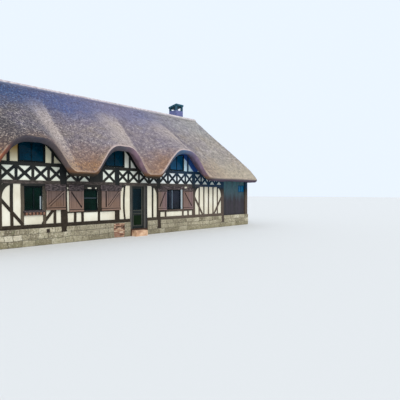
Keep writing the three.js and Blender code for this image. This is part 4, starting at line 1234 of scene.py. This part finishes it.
def slanted(template, foot, head, width, deep, tone):
    """A stick from foot to head, both (x, z), this deep before the wall."""
    piece = copy_to(template, (-0.5, SHUTTER_FACE - deep, -width / 2), (0.5, SHUTTER_FACE - 0.018, width / 2),
                    tone=tone)
    along = Vector((head[0] - foot[0], 0, head[1] - foot[1]))
    turn = Matrix.Rotation(-math.atan2(along.z, along.x), 4, "Y")
    centre = Vector(((foot[0] + head[0]) / 2, 0, (foot[1] + head[1]) / 2))
    piece.data.transform(Matrix.Translation(centre) @ turn @ Matrix.Diagonal((along.length, 1, 1, 1)))
    return piece


def lay_planks(board, left, right, low):
    """The upright planks on their backing, and a stile at each side with a sunk edge on its inside; the dark
    backing in the gaps and the dark sunk edges are painted shade.
    """
    foot = low + 0.10
    width = (right - left) / PLANKS
    for k in range(PLANKS):
        start = left + k * width + 0.004
        stop = left + (k + 1) * width - 0.004
        board(start, stop, foot, LEAF_HEAD, 0.024, 0, PLAIN + 0.12 * (k % 2))
    board(left, right, low + 0.08, LEAF_HEAD, 0.012, 0, DARK)
    for x, inner in ((left + 0.004, STILE), (right - STILE - 0.004, -SUNK_EDGE)):
        board(x, x + STILE, foot, LEAF_HEAD, 0.036, 0.018, STILE_TONE)
        board(x + inner, x + inner + SUNK_EDGE, foot, LEAF_HEAD, 0.027, 0.018, DARK)


def lay_ledges(board, left, right, low):
    """A ledge at the foot with a painted shadow line over it, and a dark line of painted shade at the head.
    """
    for z, tall, deep, tone in ((low, 0.075, 0.055, PALE), (low + 0.07, 0.035, 0.040, DARK),
                                (low + 0.105, 0.05, 0.034, LEDGE_TONE),
                                (LEAF_HEAD - 0.05, 0.05, 0.036, DARK)):
        board(left, right, z, z + tall, deep, 0.002, tone)


def brace_sticks(template, left, right, low, way):
    """The brace on a wider dark stick whose edges beside it are painted shade; a narrow leaf shows the dark
    stick alone.
    """
    ends = (left + BRACE_IN, right - BRACE_IN)[::way]
    foot, head = (ends[0], low + 0.17), (ends[1], LEAF_HEAD - 0.08)
    if right - left < NARROW_LEAF:
        return [slanted(template, foot, head, 0.060, 0.030, DARK)]
    return [slanted(template, foot, head, 0.115, 0.030, DARK),
            slanted(template, foot, head, 0.060, 0.040, BRACE_TONE)]


def build_shutter(name, left, right, low, way):
    template = block_template(0.05)
    pieces = []

    def board(start, stop, foot, head, deep, back, tone):
        pieces.append(copy_to(template, (start, SHUTTER_FACE - deep, foot), (stop, SHUTTER_FACE - back, head),
                              tone=tone))

    leaf_left = left
    if name == "shutter_3":
        leaf_left = left + 0.27
        board(left, left + 0.20, low + 0.10, LEAF_HEAD, 0.03, 0, 0.8)
        # The dark strip between the pale board and the leaf is painted shade.
        board(left + 0.18, leaf_left, low + 0.10, LEAF_HEAD, 0.02, 0, DARK)
    lay_planks(board, leaf_left, right, low)
    lay_ledges(board, left, right, low)
    pieces += brace_sticks(template, leaf_left, right, low, way)
    assemble(pieces, template, name + "_boards", shutter_paint, [name])


for shutter_row in SHUTTERS:
    build_shutter(*shutter_row)

# Front door: a weathered oak frame, and a leaf glazed above and panelled below. Thin mouldings
# frame the mid rail and the lower panel, and the lever is dark iron.
LEAF_FACE = -3.04
DOOR_PANEL = (-0.25, 0.26, 0.50, 1.02)
DOOR_RAILS = (1.06, 1.225)
MOULDING = 0.03


def door_finish(name, dark, light, gloss=0.2):
    return grained(name, 6, 5, [(0.3, dark), (0.7, light)], 0.6, (0.25, 0.003), gloss, (9.0, 9.0, 0.7))


def build_door_mouldings():
    left, right, low, high = DOOR_PANEL
    template = block_template(0.06)
    outer_left, outer_right = left - MOULDING, right + MOULDING
    strips = [(outer_left, outer_right, z, z + MOULDING) for z in DOOR_RAILS]
    # The last strip, tall and pale right of the panel and up past the glass, is a painted highlight on the
    # stile.
    strips += [(outer_left, outer_right, low - MOULDING, low), (outer_left, left, low, high),
               (right, right + 0.04, low, 2.40)]
    pieces = [copy_to(template, (start, LEAF_FACE - 0.012, foot), (stop, LEAF_FACE + 0.002, head))
              for start, stop, foot, head in strips]
    panel = copy_to(template, (left + MOULDING, LEAF_FACE - 0.008, low + MOULDING),
                    (right - MOULDING, LEAF_FACE + 0.002, high - MOULDING))
    panel.name = "door_panel"
    assemble(pieces, template, "door_mouldings", moulding_paint, body="front_door")
    set_piece(panel, panel_paint, body="front_door")


leaf_paint = door_finish("door_paint", (0.004, 0.008, 0.008), (0.014, 0.020, 0.019))
moulding_paint = door_finish("moulding_paint", (0.035, 0.038, 0.030), (0.085, 0.085, 0.065))
panel_paint = door_finish("panel_paint", (0.002, 0.007, 0.002), (0.006, 0.018, 0.005), 0.06)


def jamb_finish():
    """Grey oak, darker on the outer half of the right jamb."""
    jamb = Finish("door_post")
    grain = jamb.cloud(6, 5, jamb.stretched((9.0, 9.0, 0.7)))
    base = jamb.ramp(grain, [(0.3, (0.035, 0.033, 0.028)), (0.7, (0.095, 0.090, 0.080))])
    darkened = jamb.mix(jamb.step(jamb.axis("X"), 0.46, 0.49) * 0.8, base, (0.012, 0.013, 0.014))
    return jamb.show(darkened, 0.7, grain, 0.25, 0.003)


worn_threshold = door_finish("worn_threshold", (0.020, 0.010, 0.006), (0.075, 0.038, 0.022))
dress(["door_leaf"], leaf_paint)
dress(["door_frame"], jamb_finish())
dress(["threshold"], worn_threshold)
dress(["door_glass"], door_pane)
dress(["door_handle"], iron_paint)
build_door_mouldings()

# Thatch: water reed laid a forearm thick over the whole house, swept in eyebrows over the dormers,
# rounded at the hips and cut at the eaves, where the ends of the reeds show.
CORNER = 0.70
STATION = 0.085
OUTER_ROWS = 66
INNER_ROWS = 7
BUTT_ROWS = 6
LIP_ROW = INNER_ROWS + 1 + BUTT_ROWS
BUTT_IN = (0.20, 0.14)
BUTT_DOWN = (0.18, 0.22)
BUTT_CURVE = (0.8, 1.25)
WALL_IN = 0.80
LIP_FADE = 0.16
CORNER_TURN = 0.75
SQUARE_ON = 0.99
UNDER_SPARE = 0.015
HIP_SHARE = (EAVE_X - RIDGE_X) / EAVE_Y
HIP_ROUND = 0.30
SAG, TUFT, FINE_TUFT, COURSE_STEP = 0.035, 0.014, 0.007, 0.012
CROWN_LEVEL = 6.0
# Each crown of painted light has its right edge and that edge's lean, the same of its left edge, and a fade.
CROWNS = [(-3.65, 0.0, -4.35, 0.0, 0.45), (0.28, 0.0, -0.65, -0.40, 0.8), (3.62, 0.42, 3.1, 0.42, 1.6)]
# Each place along the front has its own tint on the cut face of the eave: partly the reeds' colour, partly
# painted light and shade as the face turns with the brows.
ARCH_TINTS = [
    (-6.95, (0.330, 0.095, 0.035)), (-6.45, (0.060, 0.050, 0.058)), (-5.4, (0.046, 0.046, 0.062)),
    (-4.6, (0.100, 0.075, 0.070)), (-3.9, (0.120, 0.085, 0.075)), (-3.0, (0.055, 0.048, 0.055)),
    (-1.4, (0.080, 0.074, 0.092)), (-0.7, (0.215, 0.130, 0.170)), (0.2, (0.200, 0.120, 0.135)),
    (1.2, (0.090, 0.095, 0.110)), (2.5, (0.062, 0.130, 0.235)), (3.4, (0.195, 0.150, 0.235)),
    (4.6, (0.205, 0.120, 0.150)), (5.4, (0.220, 0.185, 0.150)),
]


def soft_min(a, b, width):
    """The lower of two heights, rounded over where they cross."""
    part = max(0.0, width - abs(a - b)) / width
    return min(a, b) - part * part * width / 4


def hip_height(x):
    return RIDGE_Z - (abs(x) - RIDGE_X) / HIP_SHARE * SLOPE


def outer_height(x, y):
    side = front_outer(x, -y) if y < 0 else RIDGE_Z - y * SLOPE
    return soft_min(side, hip_height(x), HIP_ROUND)


def under_height(x, y):
    side = front_under(x, -y) if y < 0 else RIDGE_Z - y * SLOPE - MAIN_THICK
    return min(side, hip_height(x) - MAIN_THICK) - UNDER_SPARE


def flank(x):
    """On the flanks of a brow the cut face stands aslant, so it drops further."""
    step = 0.02
    slope = (swell(x + step)[1] - swell(x - step)[1]) / (2 * step)
    return (1 + math.hypot(1, slope)) / 2


def eave_outline():
    """Plan points of the eave, right round the house, with their outward direction."""
    points = []

    def straight(start, stop, place):
        count = round(abs(stop - start) / STATION)
        for k in range(count):
            points.append(place(start + (stop - start) * k / count))

    def corner(sx, sy, quarter):
        count = round(CORNER * math.pi / 2 / STATION)
        for k in range(count):
            angle = math.pi / 2 * (quarter + k / count)
            out = Vector((math.cos(angle), math.sin(angle)))
            centre = Vector((sx * (EAVE_X - CORNER), sy * (EAVE_Y - CORNER)))
            points.append((centre + out * CORNER, out))

    straight(-EAVE_X + CORNER, EAVE_X - CORNER, lambda x: (Vector((x, -EAVE_Y)), Vector((0, -1))))
    corner(1, -1, 3)
    straight(-EAVE_Y + CORNER, EAVE_Y - CORNER, lambda y: (Vector((EAVE_X, y)), Vector((1, 0))))
    corner(1, 1, 0)
    straight(EAVE_X - CORNER, -EAVE_X + CORNER, lambda x: (Vector((x, EAVE_Y)), Vector((0, 1))))
    corner(-1, 1, 1)
    straight(EAVE_Y - CORNER, -EAVE_Y + CORNER, lambda y: (Vector((-EAVE_X, y)), Vector((-1, 0))))
    corner(-1, -1, 2)
    return points


def thatch_column(point, out):
    """Points of one section, from the ridge inside, down, round the cut eave and up to the ridge."""
    ridge = Vector((max(-RIDGE_X, min(RIDGE_X, point.x * RIDGE_X / EAVE_X)), 0))
    browed = out.y < -SQUARE_ON
    share, rise = swell(point.x) if browed else (0.0, 0.0)
    turn = 1.0 if abs(out.y) > SQUARE_ON else HIP_SHARE if abs(out.x) > SQUARE_ON else CORNER_TURN
    lip_z = EAVE_Z + rise
    under = point - out * turn * (BUTT_IN[0] + (BUTT_IN[1] - BUTT_IN[0]) * share)
    drop = BUTT_DOWN[0] + (BUTT_DOWN[1] - BUTT_DOWN[0]) * share
    under_z = lip_z - drop * (flank(point.x) if browed else 1)
    wall = point - out * WALL_IN * turn
    column = []
    for k in range(INNER_ROWS + 1):
        spot = ridge.lerp(wall, k / INNER_ROWS)
        column.append((spot.x, spot.y, under_height(spot.x, spot.y)))
    for k in range(BUTT_ROWS):
        part = k / BUTT_ROWS
        spot = under.lerp(point, part ** BUTT_CURVE[0])
        column.append((spot.x, spot.y, under_z + (lip_z - under_z) * part ** BUTT_CURVE[1]))
    corner_drop = outer_height(point.x, point.y) - lip_z
    for k in range(OUTER_ROWS + 1):
        part = k / OUTER_ROWS
        spot = point.lerp(ridge, part)
        fade = max(0.0, 1 - part / LIP_FADE) ** 2
        column.append((spot.x, spot.y, outer_height(spot.x, spot.y) - corner_drop * fade))
    return rounded(column)


def rounded(column):
    """Takes the sharp edge off the lip, as trimmed reed has a soft edge."""
    for _ in range(2):
        soft = list(column)
        for row in range(LIP_ROW - 2, LIP_ROW + 2):
            before, here, after = (Vector(column[row + step]) for step in (-1, 0, 1))
            soft[row] = tuple(here * 0.5 + (before + after) * 0.25)
        column = soft
    return column


def roughened(co, row):
    """Lays a section point a little off its line: broad sags, tufts, and steps of the courses."""
    spot = Vector(co)
    if row <= INNER_ROWS:
        return spot
    sag = noise.noise(spot * 0.55) * SAG
    tuft = noise.noise(spot * 3.1) * TUFT + noise.noise(spot * 8.0) * FINE_TUFT
    if row < LIP_ROW:
        spot.z += tuft + sag
    else:
        wander = spot.z * 2.9 + noise.noise(spot * 0.8) * 0.5
        course = (wander - math.floor(wander)) * COURSE_STEP
        spot.z += sag + tuft - course
    spot.x = max(-EAVE_X, min(EAVE_X, spot.x + tuft * 0.3))
    spot.y = max(-EAVE_Y, min(EAVE_Y, spot.y + tuft * 0.3))
    return spot


def swept_crowns(reed, wander):
    """Painted light on the swellings over the brows, each band with a sharp right edge and its painted shade
    beside it.

    An edge stands at its place on the line at CROWN_LEVEL, and leans to the right by a share of the way down.
    """
    across, level = reed.axis("X") + wander, reed.axis("Z") - CROWN_LEVEL
    crowns, shades = 0.0, 0.0
    for right, right_lean, left, left_lean, fade in CROWNS:
        edge = across + level * right_lean
        start = across + level * left_lean
        crown = reed.step(edge, right + 0.07, right - 0.07) * reed.step(start, left - fade, left + 0.15)
        shade = reed.step(edge, right, right + 0.10) * reed.step(edge, right + 1.1, right + 0.2)
        crowns = crowns + crown
        shades = shades + shade
    return crowns * reed.zone("Z", 6.5, 5.6), shades * reed.zone("Z", 6.6, 5.8)


def reed_tones(reed, right, high, low):
    """The ground tone: one run of tones along the middle of the slope, one to the ridge, one to the eave."""
    middle = reed.ramp(right, [(0.0, (0.070, 0.064, 0.078)), (0.25, (0.190, 0.162, 0.184)),
                               (0.5, (0.225, 0.192, 0.212)), (0.7, (0.205, 0.178, 0.200)),
                               (1.0, (0.310, 0.278, 0.238))])
    ridgeward = reed.ramp(right, [(0.0, (0.008, 0.046, 0.150)), (0.3, (0.055, 0.085, 0.220)),
                                  (0.5, (0.165, 0.160, 0.255)), (0.66, (0.140, 0.150, 0.260)),
                                  (0.76, (0.230, 0.220, 0.250)), (1.0, (0.30, 0.295, 0.285))])
    eaveward = reed.ramp(right, [(0.0, (0.270, 0.130, 0.040)), (0.6, (0.260, 0.140, 0.075)),
                                 (1.0, (0.375, 0.325, 0.240))])
    return reed.mix(low * 0.9, reed.mix(high * 0.9, middle, ridgeward), eaveward)


def reed_lip(reed, slope, up_slope):
    """The trimmed edge, with a painted highlight along it: warm at the eave, pale over the second and third
    arch, dark over the first.
    """
    lip = reed.step(up_slope, 0.12, 0.02)
    raised = reed.zone("Z", 3.05, 3.20) * reed.zone("X", -3.2, -2.4)
    first_crown = reed.zone("Z", 3.75, 3.95) * reed.zone("X", -4.2, -4.5)
    # The warm and pale lines along the lip are a painted highlight.
    warmed = reed.mix(lip * (1 - first_crown) * 0.3, slope, (0.50, 0.38, 0.30))
    edged = reed.mix(lip * raised * 0.5, warmed, (0.60, 0.48, 0.46))
    return reed.mix(lip * first_crown * 0.6, edged, (0.045, 0.038, 0.045))


def thatch_finish():
    """Reed greyed by the weather: blue at the ridge on the left, beige on the right, brown at the eave."""
    reed = Finish("weathered_reed")
    uv = reed.add("ShaderNodeUVMap", {"uv_map": "reed"}, {})
    up_slope = reed.add("ShaderNodeSeparateXYZ", {}, {"Vector": uv}, "Y")
    strands = reed.cloud(4, 5, reed.stretched((14.0, 1.3, 1.0), uv))
    clumps = reed.cloud(3.0, 4, reed.stretched((3.0, 1.1, 1.0), uv))
    broad = reed.cloud(0.5, 4)
    patches = reed.cloud(1.1, 3)
    right = reed.step(reed.axis("X") + broad * 3 - 1.5, -6.0, 7.0)
    near_speckle = reed.cloud(12, 4, rough=0.8)
    far_speckle = reed.cloud(5.2, 4, rough=0.85)
    speckle = near_speckle * (1 - right) + far_speckle * right
    shown = reed.zone("Y", 0.3, -0.3) * reed.zone("X", -9.2, -7.4)
    high = reed.step(reed.axis("Z") + broad * 2.0 - 1.0, 5.35, 6.35) * (0.25 + shown * 0.75)
    low = reed.step(reed.axis("Z") + broad * 1.4 - 0.7, 4.45, 3.45) * (0.35 + shown * 0.65)
    tone = reed_tones(reed, right, high, low)
    gilded = reed.mix(reed.step(patches, 0.53, 0.66) * (1 - high) * 0.35, tone, (0.34, 0.27, 0.18))
    purple = reed.step(patches, 0.47, 0.34) * (1 - low) * (0.5 - right * 0.3)
    purpled = reed.mix(purple, gilded, (0.13, 0.11, 0.19))
    crowns, shades = swept_crowns(reed, clumps * 0.3 - 0.15 + broad * 0.3 - 0.15)
    sunless = reed.zone("X", -5.6, -6.3) * reed.zone("Z", 5.3, 4.9) * (1 - low * 0.8)
    gloomy = reed.mix(sunless * shown * 0.7, purpled, (0.030, 0.029, 0.032))
    # The pale crowns are painted light on the swellings, and the darker mauve beside them is painted shade.
    crown_lit = reed.mix(crowns * shown * (1 - low * 0.7) * 0.72, gloomy, (0.50, 0.42, 0.37))
    shaded = reed.mix(shades * shown * 0.3, crown_lit, (0.10, 0.075, 0.085))
    clumped = reed.step(clumps, 0.60, 0.36) * (1 - low * 0.5) * 0.4
    weathered = reed.mix(clumped, shaded, (0.085, 0.066, 0.075))
    share = (1 - right * 0.45) * (0.5 + shown * 0.5) * (1 - sunless * 0.35)
    gold = reed.mix(low * (1 - right * 0.6), (0.62, 0.55, 0.50), (0.56, 0.34, 0.15))
    shine = reed.mix(high * (1 - right), gold, (0.22, 0.34, 0.55))
    dark = reed.mix(reed.step(speckle, 0.50, 0.38) * share * 0.95, weathered, (0.036, 0.032, 0.044))
    light = reed.mix(reed.step(speckle, 0.52, 0.66) * share * (0.85 - high * 0.35), dark, shine)
    streaked = reed.mix(reed.step(strands, 0.52, 0.72) * 0.3, light, (0.36, 0.31, 0.28))
    return reed.show(reed_lip(reed, streaked, up_slope), 0.95, speckle + strands * 0.7, 0.9, 0.03)


def butt_finish():
    """Cut ends of the reeds. Each arch has its own tint, partly painted light and shade, and the lowest ends
    are dark with painted shade.
    """
    butt = Finish("cut_reed_ends")
    ends = butt.cells(70)
    tone = butt.cloud(3, 4)
    tints = [(x / (2 * EAVE_X) + 0.5, colour) for x, colour in ARCH_TINTS]
    arch = butt.ramp(butt.zone("X", -EAVE_X, EAVE_X), tints)
    varied = butt.mix(butt.step(tone, 0.6, 0.35) * 0.4, arch, (0.030, 0.026, 0.034))
    height = butt.step(butt.axis("Z") + tone * 0.06 - 0.03, 2.88, 2.97)
    far = butt.zone("X", 4.3, 5.2)
    # The lowest ends at the eave are painted shade, near black at the left and dark purple at the right.
    shaded_ends = butt.mix(far, (0.032, 0.023, 0.014), (0.085, 0.060, 0.095))
    upper_ends = butt.mix(far, (0.150, 0.072, 0.034), (0.240, 0.205, 0.165))
    base = butt.mix(butt.zone("Z", 3.18, 2.98), varied, butt.mix(height, shaded_ends, upper_ends))
    dotted = butt.mix(butt.step(ends, 0.5, 0.2) * 0.25, base, (0.24, 0.19, 0.17))
    return butt.show(dotted, 0.95, ends * -1.0 + butt.cloud(20, 4), 0.6, 0.01)


def climb(column):
    """Way up the slope from the lip for each point of a section, below zero on the inside."""
    way = [0.0] * len(column)
    for row in range(LIP_ROW + 1, len(column)):
        way[row] = way[row - 1] + (Vector(column[row]) - Vector(column[row - 1])).length
    for row in range(LIP_ROW - 1, -1, -1):
        way[row] = way[row + 1] - (Vector(column[row]) - Vector(column[row + 1])).length
    return way


def build_thatch():
    columns = [thatch_column(*entry) for entry in eave_outline()]
    count, rows = len(columns), len(columns[0])
    bpy.ops.object.select_all(action="DESELECT")
    bpy.ops.mesh.primitive_grid_add(x_subdivisions=count, y_subdivisions=rows - 1, size=1)
    thatch = bpy.context.object
    thatch.name = "reed_thatch"
    across = count + 1
    for number, vertex in enumerate(thatch.data.vertices):
        row, column = divmod(number, across)
        vertex.co = roughened(columns[column % count][row], row)
    ways = [climb(column) for column in columns]
    reed_uv = thatch.data.uv_layers[0]
    reed_uv.name = "reed"
    for loop in thatch.data.loops:
        row, column = divmod(loop.vertex_index, across)
        reed_uv.data[loop.index].uv = (column * STATION, ways[column % count][row])
    for material in (thatch_finish(), butt_finish()):
        thatch.data.materials.append(material)
    for face in thatch.data.polygons:
        face.material_index = 1 if face.index // count < LIP_ROW else 0
    bpy.ops.object.mode_set(mode="EDIT")
    bpy.ops.mesh.select_all(action="SELECT")
    bpy.ops.mesh.remove_doubles(threshold=0.002)
    bpy.ops.object.mode_set(mode="OBJECT")
    face_outwards(thatch)
    smooth(thatch, 60)
    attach(thatch, "house")
    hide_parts("thatch_front", "thatch_back", "thatch_left_hip", "thatch_right_hip")


build_thatch()

# Ridge: a cap of lime and earth pressed over the top of the reed, paler than the slopes.
# Its foot is worn down to the reed, so only the top shows pale.


def ridge_finish():
    ridge = Finish("ridge_earth")
    speckle = ridge.cloud(7, 6)
    base = ridge.ramp(speckle, [(0.3, (0.30, 0.25, 0.25)), (0.5, (0.50, 0.44, 0.45)),
                                (0.7, (0.62, 0.58, 0.56))])
    mossed = ridge.mix(ridge.step(ridge.cloud(3, 4), 0.56, 0.66) * 0.5, base, (0.36, 0.38, 0.30))
    reed = ridge.ramp(ridge.zone("X", -6.0, 7.0), [(0.0, (0.045, 0.085, 0.170)), (0.4, (0.110, 0.110, 0.200)),
                                                   (1.0, (0.30, 0.285, 0.27))])
    foot = ridge.step(ridge.axis("Z") + speckle * 0.08 - 0.04, 7.08, 7.02)
    worn = ridge.mix(foot * 0.85, mossed, reed)
    return ridge.show(worn, 0.95, speckle, 0.8, 0.03)


dress(["ridge_cap"], ridge_finish())

# Chimney: a small stack of blue-grey brick right behind the ridge. Four brick pillars carry a
# leaning slate slab over the flue.


def stack_finish():
    stack = Finish("stack_brick")
    height = stack.axis("Z")
    bed = stack.add("ShaderNodeMath", {"operation": "PINGPONG"}, {0: height, 1: BRICK_HIGH / 2})
    joint = stack.step(bed, 0.008, 0.003)
    tone = stack.cloud(9, 4)
    base = stack.ramp(tone, [(0.3, (0.080, 0.105, 0.250)), (0.5, (0.120, 0.135, 0.300)),
                             (0.7, (0.190, 0.180, 0.320))])
    pillars = stack.mix(stack.step(height, 7.56, 7.62), base, (0.015, 0.075, 0.115))
    bedded = stack.mix(joint * 0.6, pillars, (0.20, 0.19, 0.22))
    return stack.show(bedded, 0.9, tone - joint, 0.6, 0.006)


STACK_X, STACK_Y, STACK_TOP = 6.395, 0.57, 7.59
POT_RADIUS = 0.13
POT_HIGH = 0.13
slab_paint = grained("slate_slab", 6, 5, [(0.3, (0.010, 0.060, 0.090)), (0.7, (0.030, 0.110, 0.150))], 0.7,
                     (0.6, 0.01))
pot_paint = grained("sooty_clay", 12, 4, [(0.3, (0.006, 0.012, 0.016)), (0.7, (0.020, 0.034, 0.042))], 0.9,
                    (0.4, 0.003))


def build_flue_pot():
    """A short clay flue between the pillars, black with soot."""
    bpy.ops.object.select_all(action="DESELECT")
    bpy.ops.mesh.primitive_cylinder_add(vertices=24, radius=POT_RADIUS, depth=POT_HIGH,
                                        location=(STACK_X, STACK_Y, STACK_TOP + POT_HIGH / 2))
    bpy.ops.object.transform_apply(location=True, rotation=True, scale=True)
    pot = bpy.context.object
    pot.name = "flue_pot"
    soften(pot, 0.012)
    smooth(pot, 40)
    set_piece(pot, pot_paint)


dress(["chimney_stack"], stack_finish())
dress(["chimney_cap"], slab_paint)
build_flue_pot()
